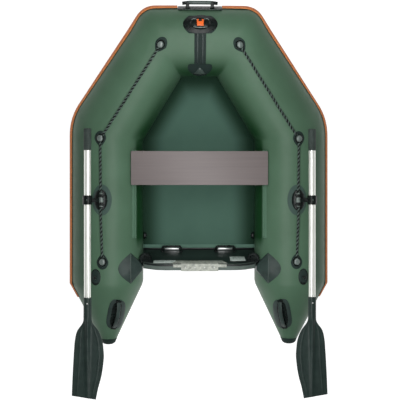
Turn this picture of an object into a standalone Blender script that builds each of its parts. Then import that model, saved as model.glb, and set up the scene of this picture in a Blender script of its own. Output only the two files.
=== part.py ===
"""A two-metre inflatable dinghy with a raked transom, a sliding seat and a pair of oars.

Metres, +Z up, bow towards +Y, starboard towards +X. Lengths along the boat are stations,
measured forward from the oarlocks. Every piece hangs on the empty "boat_datum", which puts
the middle of the boat's overall length over the origin.
"""

import math

import bmesh
import bpy
from mathutils import Matrix, Vector

# ---- driving dimensions ------------------------------------------------------------------
GAP = 0.0003  # between pieces that touch
SIDES = {"port": -1, "starboard": 1}

SIDE_R = 0.200  # side tubes
BOW_R = 0.187  # bow tube
KNEE = Vector((0.512, 0.393, SIDE_R))  # where a side tube turns into its bow quarter
CORNER = Vector((0.200, 0.861, 0.315))  # where a quarter turns into the bow tube
QUARTER_EASE = 0.0012  # keeps the rising quarter's foot off the ground
CONE_START = -0.459
CONE_LENGTH = 0.347
CONE_TAPER = 0.494  # radius lost per metre
CONE_TIP_X = 0.505
TUBE_FACETS = 48

STRAKE_THICK = 0.009
STRAKE_HALF_ANGLE = math.radians(9.5)
STRAKE_RISE = {"sides": math.radians(13.5), "knee": math.radians(14.5), "bow": math.radians(21.5)}
STRAKE_GAP_X = 0.120  # half of the break in the strake at the bow handle

FLOOR_THICK = 0.004
FLOOR_Z = 0.035

TRANSOM_RAKE = math.radians(10.7)
TRANSOM_FOOT = Vector((0, -0.285, 0.040))  # on the inner face
TRANSOM_THICK = 0.025
TRANSOM_HALF = 0.3105
TRIM_THICK = 0.033
TRIM_LAP = 0.012  # how far the trim reaches down the board
TRIM_CROWN = 0.004

SEAT_SIZE = (0.742, 0.1835, 0.014)
SEAT_STATION = 0.173
SEAT_BOTTOM = 0.3425
RAIL_ANGLE = math.radians(51.3)  # from the tube's crown, inboard
RAIL_FRONT, RAIL_BACK = 0.272, -0.207

PIVOT = Vector((0.523, 0, 0.432))  # the oarlock's lifting pin
OAR_X = 0.590
OAR_Z = 0.475
SHAFT_R = 0.018
SHAFT_BORE = 0.0165
SHAFT_FRONT, SHAFT_BACK = 0.368, -0.575
GRIP_FRONT, GRIP_BACK = 0.3746, 0.2604
THROAT_FRONT = -0.510
BLADE_TIP = -1.0444
BLADE_HEEL = -1.0234
BUTTON_STATION = -0.540
BUTTON_R = 0.004

ROPE_R = 0.0055
HOLDERS = {"front": (0.2065, 0.8125), "middle": (0.5306, 0.3285), "rear": (0.519, -0.330)}

HANDLE_LIFT = math.radians(30)  # the bow handle's place, above the tube's middle
HANDLE_PROUD = 0.0404
HANDLE_FOOT_HALF = 0.117
HANDLE_BAR_R = 0.0095

VALVE_STATION = -0.200
VALVE_ANGLE = math.radians(100)  # from the crown, inboard

BOW_FRONT = CORNER.y + (BOW_R + HANDLE_PROUD - HANDLE_BAR_R) * math.cos(HANDLE_LIFT) + HANDLE_BAR_R
DATUM_Y = -(BOW_FRONT + BLADE_TIP) / 2
DATUM_Z = -SIDE_R * (1 - math.cos(math.pi / TUBE_FACETS))  # the side tubes rest on a flat

COLOURS = {  # linear colour, roughness, metallic
    "hull_pvc": ((0.060, 0.125, 0.070), 0.45, 0.0),
    "floor_pvc": ((0.055, 0.105, 0.080), 0.50, 0.0),
    "orange_rubber": ((0.55, 0.16, 0.045), 0.50, 0.0),
    "black_nylon": ((0.012, 0.016, 0.017), 0.40, 0.0),
    "grey_nylon": ((0.050, 0.062, 0.064), 0.50, 0.0),
    "orange_nylon": ((0.80, 0.16, 0.03), 0.35, 0.0),
    "black_rope": ((0.012, 0.018, 0.016), 0.90, 0.0),
    "black_webbing": ((0.018, 0.024, 0.026), 0.70, 0.0),
    "aluminium": ((0.80, 0.84, 0.80), 0.30, 1.0),
    "foam_grip": ((0.045, 0.050, 0.052), 0.80, 0.0),
    "blade_plastic": ((0.020, 0.035, 0.035), 0.45, 0.0),
    "steel": ((0.62, 0.62, 0.60), 0.25, 1.0),
    "seat_plywood": ((0.165, 0.138, 0.130), 0.45, 0.0),
    "transom_plywood": ((0.008, 0.011, 0.011), 0.40, 0.0),
    "trim_vinyl": ((0.105, 0.122, 0.122), 0.50, 0.0),
    "pad_plastic": ((0.40, 0.42, 0.38), 0.60, 0.0),
}


# ---- scene ---------------------------------------------------------------------------------
def clear_scene():
    for thing in list(bpy.data.objects):
        bpy.data.objects.remove(thing)


def folder(name):
    made = bpy.data.collections.new(name)
    bpy.context.scene.collection.children.link(made)
    return made


clear_scene()
PARTS = folder("inflatable_dinghy")
CUTTERS = folder("cutters")
DATUM = bpy.data.objects.new("boat_datum", None)
DATUM.location = (0, DATUM_Y, DATUM_Z)
PARTS.objects.link(DATUM)


def material(name, base):
    colour, roughness, metallic = COLOURS[base]
    made = bpy.data.materials.new(name)
    made.use_nodes = True
    shader = made.node_tree.nodes["Principled BSDF"]
    shader.inputs["Base Color"].default_value = (*colour, 1)
    shader.inputs["Roughness"].default_value = roughness
    shader.inputs["Metallic"].default_value = metallic
    return made


# ---- shapes --------------------------------------------------------------------------------
def place_object(name, data, finish, place=Matrix(), parent=DATUM):
    """Links an object; place is in the boat's station frame."""
    made = bpy.data.objects.new(name, data)
    data.materials.append(material(name, finish))
    PARTS.objects.link(made)
    made.parent = parent
    made.matrix_basis = Matrix.Translation(-parent.location) @ place if parent != DATUM else place
    return made


def from_bmesh(name, bm, finish, place=Matrix(), parent=DATUM):
    mesh = bpy.data.meshes.new(name)
    bmesh.ops.recalc_face_normals(bm, faces=bm.faces)
    bm.to_mesh(mesh)
    bm.free()
    mesh.shade_smooth()
    mesh.set_sharp_from_angle(angle=math.radians(35))
    return place_object(name, mesh, finish, place, parent)


def as_mesh(guide):
    """The welded mesh of a curve object, in the object's own frame; the curve goes."""
    bpy.context.view_layer.update()
    graph = bpy.context.evaluated_depsgraph_get()
    mesh = bpy.data.meshes.new_from_object(guide.evaluated_get(graph))
    bm = bmesh.new()
    bm.from_mesh(mesh)
    bmesh.ops.remove_doubles(bm, verts=bm.verts, dist=0.00005)
    bpy.data.meshes.remove(mesh)
    bpy.data.objects.remove(guide)
    return bm


def plate_bmesh(outline, thickness):
    """A flat outline in XY with its thickness shared either side of the plane."""
    curve = bpy.data.curves.new("outline", "CURVE")
    curve.dimensions = "2D"
    curve.fill_mode = "BOTH"
    curve.extrude = thickness / 2
    spline = curve.splines.new("POLY")
    spline.points.add(len(outline) - 1)
    for point, (x, y) in zip(spline.points, outline):
        point.co = (x, y, 0, 1)
    spline.use_cyclic_u = True
    guide = bpy.data.objects.new("outline", curve)
    CUTTERS.objects.link(guide)
    return as_mesh(guide)


def plate(name, outline, thickness, finish, place=Matrix(), parent=DATUM):
    return from_bmesh(name, plate_bmesh(outline, thickness), finish, place, parent)


def rod_bmesh(points, radius, resolution=2):
    """A round bar along the points, with filled ends."""
    curve = bpy.data.curves.new("bar", "CURVE")
    curve.dimensions = "3D"
    curve.bevel_depth = radius
    curve.bevel_resolution = resolution
    curve.use_fill_caps = True
    spline = curve.splines.new("POLY")
    spline.points.add(len(points) - 1)
    for point, where in zip(spline.points, points):
        point.co = (*where, 1)
    guide = bpy.data.objects.new("bar", curve)
    CUTTERS.objects.link(guide)
    return as_mesh(guide)


def rod(name, points, radius, finish, resolution=2, parent=DATUM):
    return from_bmesh(name, rod_bmesh(points, radius, resolution), finish, parent=parent)


def loft_bmesh(rings):
    """A body through rings with equal numbers of points, closed by a face at each end."""
    bm = bmesh.new()
    rows = [[bm.verts.new(point) for point in ring] for ring in rings]
    count = len(rows[0])
    for row, following in zip(rows, rows[1:]):
        for i in range(count):
            j = (i + 1) % count
            bm.faces.new((row[i], row[j], following[j], following[i]))
    bm.faces.new(rows[0][::-1])
    bm.faces.new(rows[-1])
    return bm


def box_bmesh(low, high):
    bm = bmesh.new()
    middle = (Vector(low) + Vector(high)) / 2
    size = Vector(high) - Vector(low)
    bmesh.ops.create_cube(bm, size=1, matrix=Matrix.Translation(middle) @ Matrix.Diagonal((*size, 1)))
    return bm


def cylinder_bmesh(start, end, radius, facets=24, end_radius=None):
    start, end = Vector(start), Vector(end)
    run = end - start
    turn = run.to_track_quat("Z", "Y").to_matrix().to_4x4()
    bm = bmesh.new()
    bmesh.ops.create_cone(
        bm,
        cap_ends=True,
        segments=facets,
        radius1=radius,
        radius2=radius if end_radius is None else end_radius,
        depth=run.length,
        matrix=Matrix.Translation((start + end) / 2) @ turn,
    )
    return bm


def helper(bm, parent=DATUM):
    """A shape that cuts or joins a part and is not a part itself."""
    mesh = bpy.data.meshes.new("cutter")
    bmesh.ops.recalc_face_normals(bm, faces=bm.faces)
    bm.to_mesh(mesh)
    bm.free()
    made = bpy.data.objects.new("cutter", mesh)
    CUTTERS.objects.link(made)
    made.parent = parent
    if parent != DATUM:
        made.matrix_basis = Matrix.Translation(-parent.location)
    made.hide_render = True
    made.display_type = "WIRE"
    return made


def combine(part, bm, operation):
    """Adds a live Boolean with one more shape, given in the station frame."""
    modifier = part.modifiers.new(operation.lower(), "BOOLEAN")
    modifier.operation = operation
    modifier.solver = "EXACT"
    modifier.object = helper(bm)
    return part


def cut(part, bm):
    return combine(part, bm, "DIFFERENCE")


def join(part, bm):
    return combine(part, bm, "UNION")


def pivot(name, where):
    """An empty on a joint's axis; the pieces that turn or slide there hang on it."""
    made = bpy.data.objects.new(name, None)
    made.location = where
    made.parent = DATUM
    PARTS.objects.link(made)
    return made


def mirrored(point, side):
    return Vector((point[0] * side, point[1], point[2]))


def rounded_rectangle(width, height, radius, steps=4):
    outline = []
    for corner, (sx, sy) in enumerate(((1, 1), (-1, 1), (-1, -1), (1, -1))):
        for step in range(steps + 1):
            angle = (corner + step / steps) * math.pi / 2
            outline.append(
                (
                    sx * (width / 2 - radius) + radius * math.cos(angle),
                    sy * (height / 2 - radius) + radius * math.sin(angle),
                )
            )
    return outline


# ---- the hull's centreline and skin ----------------------------------------------------------
AFT_END = Vector((KNEE.x, CONE_START, KNEE.z))
FORWARD = Vector((0, 1, 0))
ALONG_QUARTER = (CORNER - KNEE).normalized()
ALONG_BOW = Vector((-1, 0, 0))
KNEE_MITRE = (FORWARD + ALONG_QUARTER).normalized()
CORNER_MITRE = (ALONG_QUARTER + ALONG_BOW).normalized()


def cone_radius(station):
    """The stern cone's radius, with its tip rounded over the last 22 mm."""
    run = CONE_START - station
    straight = CONE_LENGTH - 0.022
    if run <= straight:
        return SIDE_R - CONE_TAPER * max(run, 0)
    end = SIDE_R - CONE_TAPER * straight
    return end * math.sqrt(max(1 - ((run - straight) / 0.0225) ** 2, 0))


def cone_centre_x(station):
    return KNEE.x + (CONE_TIP_X - KNEE.x) * (CONE_START - station) / CONE_LENGTH


def skin(x, station):
    """The point on top of the hull at a place seen from above, and the outward normal there."""
    side = -1 if x < 0 else 1
    flat = Vector((abs(x), station, 0))
    if station < CONE_START:
        start, along = Vector((cone_centre_x(station), station, SIDE_R)), FORWARD
        radius = cone_radius(station)
    elif (flat - KNEE).to_2d().dot(KNEE_MITRE.to_2d()) < 0:
        start, along, radius = AFT_END, FORWARD, SIDE_R
    elif (flat - CORNER).to_2d().dot(CORNER_MITRE.to_2d()) < 0:
        start, along = KNEE, ALONG_QUARTER
        share = (flat - KNEE).to_2d().dot(along.to_2d()) / (CORNER - KNEE).to_2d().length
        radius = SIDE_R + (BOW_R - SIDE_R) * min(max(share, 0), 1)
    else:
        start, along, radius = CORNER, ALONG_BOW, BOW_R
    offset = flat - start
    square = 1 - along.z**2
    linear = offset.z - offset.dot(along) * along.z
    rest = offset.length_squared - offset.dot(along) ** 2 - radius**2
    height = (-linear + math.sqrt(max(linear**2 - square * rest, 0))) / square
    spot = flat + Vector((0, 0, height))
    axis_point = start + along * (spot - start).dot(along)
    normal = (spot - axis_point).normalized()
    return mirrored(spot, side), mirrored(normal, side)


def moulding_bmesh(outline, centre, profile, lift=2.5 * GAP):
    """A piece lying on the hull: outline seen from above, profile as (share, height) outwards."""
    bm = bmesh.new()
    count = len(outline)

    def point(share, angle_index, height):
        x = centre[0] + share * (outline[angle_index][0] - centre[0])
        y = centre[1] + share * (outline[angle_index][1] - centre[1])
        spot, normal = skin(x, y)
        return bm.verts.new(spot + normal * height)

    shares = [share for share, _ in profile if share > 0]
    top = [[point(share, i, lift + height) for i in range(count)] for share, height in profile if share]
    bottom = [[point(share, i, lift) for i in range(count)] for share in shares]
    peak = point(0, 0, lift + profile[0][1])
    floor = point(0, 0, lift)
    for i in range(count):
        j = (i + 1) % count
        bm.faces.new((peak, top[0][i], top[0][j]))
        bm.faces.new((floor, bottom[0][j], bottom[0][i]))
        for rows, order in ((top, 1), (bottom, -1)):
            for inner, outer in zip(rows, rows[1:]):
                bm.faces.new((inner[i], outer[i], outer[j], inner[j])[::order])
        bm.faces.new((top[-1][i], bottom[-1][i], bottom[-1][j], top[-1][j]))
    return bm


def oval(centre, half_x, half_y, turn=0.0, count=20, point_end=0.0):
    """An oval about a centre, turned by an angle; point_end draws its +Y end out to a nose."""
    outline = []
    for i in range(count):
        angle = 2 * math.pi * i / count
        x = half_x * math.cos(angle)
        y = half_y * math.sin(angle)
        if y > 0:
            x *= 1 - point_end * (y / half_y)
        outline.append(
            (
                centre[0] + x * math.cos(turn) - y * math.sin(turn),
                centre[1] + x * math.sin(turn) + y * math.cos(turn),
            )
        )
    return outline


# ---- hull ------------------------------------------------------------------------------------
def chamber(name, start, end, start_mitre, end_mitre, start_r, end_r):
    """A straight tube with its ends cut to the mitre planes."""
    along = (end - start).normalized()
    over = SIDE_R
    slope = (end_r - start_r) / (end - start).length
    low_end = start - along * over
    high_end = end + along * over
    bm = cylinder_bmesh(
        low_end, high_end, start_r - slope * over, TUBE_FACETS, end_r + slope * over
    )
    spin = Matrix.Rotation(math.pi / TUBE_FACETS, 4, along)
    to_start = Matrix.Translation(start)
    bmesh.ops.transform(bm, matrix=to_start @ spin @ to_start.inverted(), verts=bm.verts)
    for where, facing in ((start, -start_mitre), (end, end_mitre)):
        bmesh.ops.bisect_plane(
            bm,
            geom=bm.verts[:] + bm.edges[:] + bm.faces[:],
            plane_co=where - facing * GAP / 2,
            plane_no=facing,
            clear_outer=True,
        )
        open_edges = [edge for edge in bm.edges if edge.is_boundary]
        bmesh.ops.holes_fill(bm, edges=open_edges)
    return from_bmesh(name, bm, "hull_pvc")


def stern_cone(name, side):
    stations = [CONE_START - GAP, CONE_START - 0.325]
    stations += [CONE_START - CONE_LENGTH + back for back in (0.0145, 0.008, 0.0035, 0.0008)]
    rings = []
    for station in stations:
        radius = cone_radius(station)
        rings.append(
            [
                Vector(
                    (
                        side * (cone_centre_x(station) + radius * math.cos(angle)),
                        station,
                        SIDE_R + radius * math.sin(angle),
                    )
                )
                for angle in (2 * math.pi * (i + 0.5) / TUBE_FACETS for i in range(TUBE_FACETS))
            ]
        )
    return from_bmesh(name, loft_bmesh(rings), "hull_pvc")


def strake_ring(axis_point, along, mitre, radius, elevation, side):
    """A D-shaped section on the tube's outer side, slid along the tube to the cutting plane."""
    outward = Vector((along.y, -along.x, 0)).normalized()
    upward = outward.cross(along)
    steps = 4
    ring = []
    for i in range(steps + 1):
        ring.append((elevation + STRAKE_HALF_ANGLE * (2 * i / steps - 1), radius + GAP * 3))
    for i in range(steps, -1, -1):
        share = 2 * i / steps - 1
        angle = elevation + STRAKE_HALF_ANGLE * share * 0.94
        ring.append((angle, radius + STRAKE_THICK * (1 - 0.45 * share**2)))
    points = []
    for angle, reach in ring:
        spot = axis_point + outward * (reach * math.cos(angle)) + upward * (reach * math.sin(angle))
        spot += along * ((axis_point - spot).dot(mitre) / along.dot(mitre))
        points.append(mirrored(spot, side))
    return points


def rub_strake(name, side):
    """From beside the bow handle, round both corners, along the side and onto the cone."""
    at_sides, at_knee, at_bow = (STRAKE_RISE[place] for place in ("sides", "knee", "bow"))
    rings = []
    for share in (0, 0.5, 0.95):
        spot = Vector((STRAKE_GAP_X, CORNER.y, CORNER.z)).lerp(CORNER, share)
        rings.append(strake_ring(spot, ALONG_BOW, ALONG_BOW, BOW_R, at_bow, side))
    steps = 8
    for i in range(steps + 1):
        share = i / steps
        mitre = {0: CORNER_MITRE, steps: KNEE_MITRE}.get(i, ALONG_QUARTER)
        radius = BOW_R + (SIDE_R - BOW_R) * share
        lift = at_bow + (at_knee - at_bow) * share
        rings.append(strake_ring(CORNER.lerp(KNEE, share), ALONG_QUARTER, mitre, radius, lift, side))
    rings.append(strake_ring(AFT_END, FORWARD, FORWARD, SIDE_R, at_sides, side))
    end = CONE_START - 0.076
    cone_end = Vector((cone_centre_x(end), end, SIDE_R))
    rings.append(strake_ring(cone_end, FORWARD, FORWARD, cone_radius(end), at_sides, side))
    return from_bmesh(name, loft_bmesh(rings), "orange_rubber")


def floor_sheet():
    """The bottom cloth: flat under the cockpit, then rising between the quarters."""
    rings = []
    inset = 0.125
    along = ALONG_QUARTER.to_2d().normalized()
    climb = (CORNER.z - KNEE.z) / (CORNER - KNEE).to_2d().length
    edge_start = KNEE.to_2d() + Vector((-along.y, along.x)) * inset
    for station in (-0.2835, -0.10, 0.10, 0.30, 0.42, 0.53, 0.64, 0.76):
        run = max((station - edge_start.y) / along.y, 0)
        half = min(edge_start.x + along.x * run, KNEE.x - inset) - 0.004
        low = FLOOR_Z + climb * run
        high = low + FLOOR_THICK
        rings.append(
            [
                Vector((-half, station, low)),
                Vector((half, station, low)),
                Vector((half, station, high)),
                Vector((-half, station, high)),
            ]
        )
    return from_bmesh("floor_sheet", loft_bmesh(rings), "floor_pvc")


def build_hull():
    other = Vector((-1, 1, 1))
    left_corner = CORNER * other
    chamber(
        "bow_tube",
        CORNER,
        left_corner,
        CORNER_MITRE,
        Vector((CORNER_MITRE.x, -CORNER_MITRE.y, -CORNER_MITRE.z)),
        BOW_R,
        BOW_R,
    )
    for word, side in SIDES.items():
        chamber(
            f"{word}_side_tube",
            mirrored(AFT_END, side),
            mirrored(KNEE, side),
            FORWARD,
            mirrored(KNEE_MITRE, side),
            SIDE_R,
            SIDE_R,
        )
        chamber(
            f"{word}_bow_quarter",
            mirrored(KNEE, side),
            mirrored(CORNER, side),
            mirrored(KNEE_MITRE, side),
            mirrored(CORNER_MITRE, side),
            SIDE_R - QUARTER_EASE,
            BOW_R,
        )
        stern_cone(f"{word}_stern_cone", side)
        rub_strake(f"{word}_rub_strake", side)
    floor_sheet()


# ---- bow fittings ------------------------------------------------------------------------------
def bow_frame(lift):
    """Axes on the bow tube: X along it, Y outwards at the lift angle, Z up the skin."""
    turn = Matrix.Rotation(lift, 4, "X")
    return Matrix.Translation((0, CORNER.y, CORNER.z)) @ turn


def bow_handle():
    """A moulded carrying handle: a foot that follows the tube, two posts and a bar."""
    frame = bow_frame(HANDLE_LIFT)
    foot_r = BOW_R + GAP * 2
    steps = 6
    spread = math.radians(9)
    foot = []
    for reach, order in ((foot_r, 1), (foot_r + 0.006, -1)):
        for i in range(steps + 1)[::order]:
            angle = spread * (2 * i / steps - 1)
            foot.append((reach * math.cos(angle), reach * math.sin(angle)))
    to_yz = Matrix(((0, 0, 1, 0), (1, 0, 0, 0), (0, 1, 0, 0), (0, 0, 0, 1)))
    handle = plate("bow_handle", foot, 2 * HANDLE_FOOT_HALF, "black_nylon", frame @ to_yz)
    post_x, post_half, post_deep = 0.066, 0.009, 0.010
    end_x, end_drop = 0.094, 0.004
    bar_y = BOW_R + HANDLE_PROUD - HANDLE_BAR_R
    for sign in (-1, 1):
        low = (sign * post_x - post_half, foot_r + 0.003, -post_deep)
        high = (sign * post_x + post_half, bar_y, post_deep)
        post = box_bmesh(low, high)
        bmesh.ops.transform(post, matrix=frame, verts=post.verts)
        join(handle, post)
    half_run = [(post_x, bar_y, 0), (end_x, bar_y - end_drop, 0)]
    run = [(-x, y, z) for x, y, z in half_run[::-1]] + half_run
    bar = rod_bmesh(run, HANDLE_BAR_R, 3)
    bmesh.ops.transform(bar, matrix=frame, verts=bar.verts)
    join(handle, bar)


def bow_fitting():
    """The towing bridle's moulded body on the crown, and its snap latch."""
    centre = (0, 0.9195)
    body = from_bmesh(
        "bow_fitting",
        moulding_bmesh(
            oval(centre, 0.091, 0.052, count=28),
            centre,
            ((0, 0.016), (0.30, 0.016), (0.52, 0.014), (0.60, 0.004), (1, 0.0022)),
        ),
        "black_nylon",
    )
    spot, normal = skin(*centre)
    frame = Matrix.Translation(spot) @ Vector((0, 0, 1)).rotation_difference(normal).to_matrix().to_4x4()
    slot = box_bmesh((-0.0195, -0.0225, 0.0065), (0.0195, 0.0265, 0.03))
    bmesh.ops.transform(slot, matrix=frame, verts=slot.verts)
    cut(body, slot)
    axle = pivot("bow_latch_axis", frame @ Vector((0, -0.015, 0.0125)))
    tongue = [(-0.0180, -0.0165), (0.0180, -0.0165), (0.0180, 0.0205), (0.0085, 0.024), (0.0085, 0.010)]
    tongue += [(-0.0085, 0.010), (-0.0085, 0.024), (-0.0180, 0.0205)]
    lift_up = Matrix.Translation((0, 0, 0.0115))
    plate("bow_latch", tongue, 0.008, "orange_nylon", frame @ lift_up, parent=axle)


def over_crown(x, reach, angle):
    """A spot round the bow tube's middle line, at an angle up from dead ahead."""
    return Vector((x, CORNER.y + reach * math.cos(angle), CORNER.z + reach * math.sin(angle)))


def bow_strap():
    """A ribbed strap from the bow fitting over the crown, and the patch that ends it inside."""
    half = 0.0305
    thick = 0.004
    ribs = (-1, -0.72, -0.36, -0.14, 0.14, 0.36, 0.72, 1)
    rings = []
    steps = 12
    for i in range(steps + 1):
        angle = math.radians(90 + 1.5 + 46 * i / steps)
        low, high = [], []
        for k, rib in enumerate(ribs):
            proud = thick if k % 2 else thick * 0.7
            low.append(over_crown(half * rib, BOW_R + GAP * 2, angle))
            high.append(over_crown(half * rib, BOW_R + GAP * 2 + proud, angle))
        rings.append(low + high[::-1])
    from_bmesh("bow_strap", loft_bmesh(rings), "black_webbing")
    patch_half, edge_thick, web_thick, cap_rise = 0.068, 0.002, 0.003, 0.010
    steps = 8
    rings = []
    for i in range(steps + 1):
        share = i / steps
        angle = math.radians(90 + 48.2 + 36 * share)
        half = patch_half * math.sqrt(1 - (share * 0.93) ** 2)
        proud = web_thick + cap_rise * max(math.sin(math.pi * min(max(share - 0.3, 0) / 0.7, 1)), 0)
        profile = ((1, edge_thick), (0.3, web_thick), (0.2, proud))
        profile += tuple((-across, reach) for across, reach in profile[::-1])
        profile = ((-1, 0), (1, 0)) + profile
        foot_r = BOW_R + GAP * 2
        rings.append([over_crown(half * across, foot_r + reach, angle) for across, reach in profile])
    from_bmesh("strap_anchor_patch", loft_bmesh(rings), "black_nylon")


# ---- lifelines ---------------------------------------------------------------------------------
def rope_route(side):
    """The lifeline's centre: over the quarter, along the crown and through the oarlock base."""
    corners = [HOLDERS["front"], HOLDERS["middle"], (0.528, 0.056), (0.528, -0.070), HOLDERS["rear"]]
    route = []
    for (x0, y0), (x1, y1) in zip(corners, corners[1:]):
        length = math.hypot(x1 - x0, y1 - y0)
        count = max(int(length / 0.040), 2)
        for i in range(count):
            share = i / count
            route.append((x0 + (x1 - x0) * share, y0 + (y1 - y0) * share))
    route.append(corners[-1])
    points = []
    for x, station in route:
        spot, normal = skin(side * x, station)
        points.append(spot + normal * (ROPE_R + GAP * 2))
    return points


def rope_heading(side, key):
    """The direction that the rope leaves a holder in, seen from above, from +Y."""
    front, middle = HOLDERS["front"], HOLDERS["middle"]
    if key == "front":
        return side * math.atan2(middle[0] - front[0], front[1] - middle[1]) + math.pi
    return math.pi if key == "middle" else 0.0


def rope_holder(word, side, key):
    x, station = HOLDERS[key]
    centre = (side * x, station)
    turn = rope_heading(side, key)
    outline = oval(centre, 0.031, 0.041, turn, 20, 0.35)
    holder = from_bmesh(
        f"{word}_{key}_rope_holder",
        moulding_bmesh(
            outline, centre, ((0, 0.0215), (0.28, 0.0205), (0.50, 0.0150), (0.62, 0.0045), (1, 0.0022))
        ),
        "grey_nylon",
    )
    return holder


def rope_tunnel(side):
    """The room that the rope needs, as a square bore along its route."""
    points = rope_route(side)
    bore = ROPE_R + 0.0005
    rings = []
    for i, where in enumerate(points):
        ahead = (points[min(i + 1, len(points) - 1)] - points[max(i - 1, 0)]).normalized()
        if i == 0:
            where = where - ahead * 0.002
        if i == len(points) - 1:
            where = where + ahead * 0.002
        _, normal = skin(where.x, where.y)
        across = ahead.cross(normal).normalized()
        up = across.cross(ahead)
        corners = ((-1, -2), (1, -2), (1, 1), (-1, 1))
        rings.append([where + across * (bore * sx) + up * (bore * sz) for sx, sz in corners])
    return loft_bmesh(rings)


# ---- oars --------------------------------------------------------------------------------------
def oarlock(word, side):
    """A base on the crown with a lengthwise pin, the arm that lifts on it, and the oar's collar."""
    centre = (side * 0.5275, 0.0)
    profile = ((0, 0.013), (0.45, 0.013), (0.8, 0.009), (1, 0.004))
    base = from_bmesh(
        f"{word}_oarlock_base",
        moulding_bmesh(oval(centre, 0.0345, 0.057, count=24), centre, profile, lift=3 * GAP),
        "black_nylon",
    )
    px = side * PIVOT.x
    for sign in (-1, 1):
        join(base, box_bmesh((px - 0.012, min(sign * 0.0195, sign * 0.030), 0.405),
                             (px + 0.012, max(sign * 0.0195, sign * 0.030), PIVOT.z + 0.013)))
    join(base, cylinder_bmesh((px, -0.025, PIVOT.z), (px, 0.025, PIVOT.z), 0.0040, 16))
    lift_axis = pivot(f"{word}_oarlock_axis", mirrored(PIVOT, side))
    arm = from_bmesh(
        f"{word}_oarlock_arm",
        cylinder_bmesh((px, -0.019, PIVOT.z), (px, 0.019, PIVOT.z), 0.0110, 24),
        "black_nylon",
        Matrix(),
        lift_axis,
    )
    ox = side * OAR_X
    join(arm, box_bmesh((min(px, ox), -0.011, PIVOT.z - 0.008), (max(px, ox), 0.011, PIVOT.z + 0.0075)))
    join(arm, cylinder_bmesh((ox, 0, PIVOT.z - 0.0085), (ox, 0, PIVOT.z + 0.008), 0.015, 24))
    cut(arm, cylinder_bmesh((px, -0.03, PIVOT.z), (px, 0.03, PIVOT.z), 0.0044, 16))
    cut(arm, cylinder_bmesh((ox, 0, PIVOT.z - 0.02), (ox, 0, PIVOT.z + 0.02), 0.0055, 16))
    swing_axis = pivot(f"{word}_oar_axis", (ox, 0, OAR_Z))
    collar = from_bmesh(
        f"{word}_oar_collar",
        cylinder_bmesh((ox, -0.024, OAR_Z), (ox, 0.024, OAR_Z), 0.0245, 32),
        "black_nylon",
        Matrix(),
        swing_axis,
    )
    join(collar, cylinder_bmesh((ox, 0, PIVOT.z + 0.0085), (ox, 0, OAR_Z - 0.018), 0.0125, 24))
    join(collar, cylinder_bmesh((ox, 0, PIVOT.z - 0.009), (ox, 0, OAR_Z - 0.02), 0.0050, 16))
    cut(collar, cylinder_bmesh((ox, -0.03, OAR_Z), (ox, 0.03, OAR_Z), SHAFT_R + GAP, 32))
    return base, swing_axis


BLADE_OUTLINE = (  # station, outboard half-width, inboard half-width
    (-0.640, 0.022, 0.022),
    (-0.685, 0.054, 0.052),
    (-0.735, 0.066, 0.075),
    (-0.7835, 0.070, 0.084),
    (-0.830, 0.073, 0.0855),
    (-0.924, 0.078, 0.0725),
    (-1.0180, 0.082, 0.0495),
)


def blade_ring(side, front, skew, outboard, inboard, edge, rib):
    """An oar section: a round throat when edge equals the half-widths, else a ribbed blade."""
    count = 28
    ring = []
    middle, half = (outboard - inboard) / 2, (outboard + inboard) / 2
    for i in range(count):
        angle = 2 * math.pi * i / count
        x = middle + half * math.cos(angle)
        thick = edge + rib * math.exp(-((x / 0.014) ** 2))
        station = front + skew * (x - outboard) / (outboard + inboard)
        ring.append(Vector((side * (OAR_X + x), station, OAR_Z + thick * math.sin(angle))))
    return ring


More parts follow.
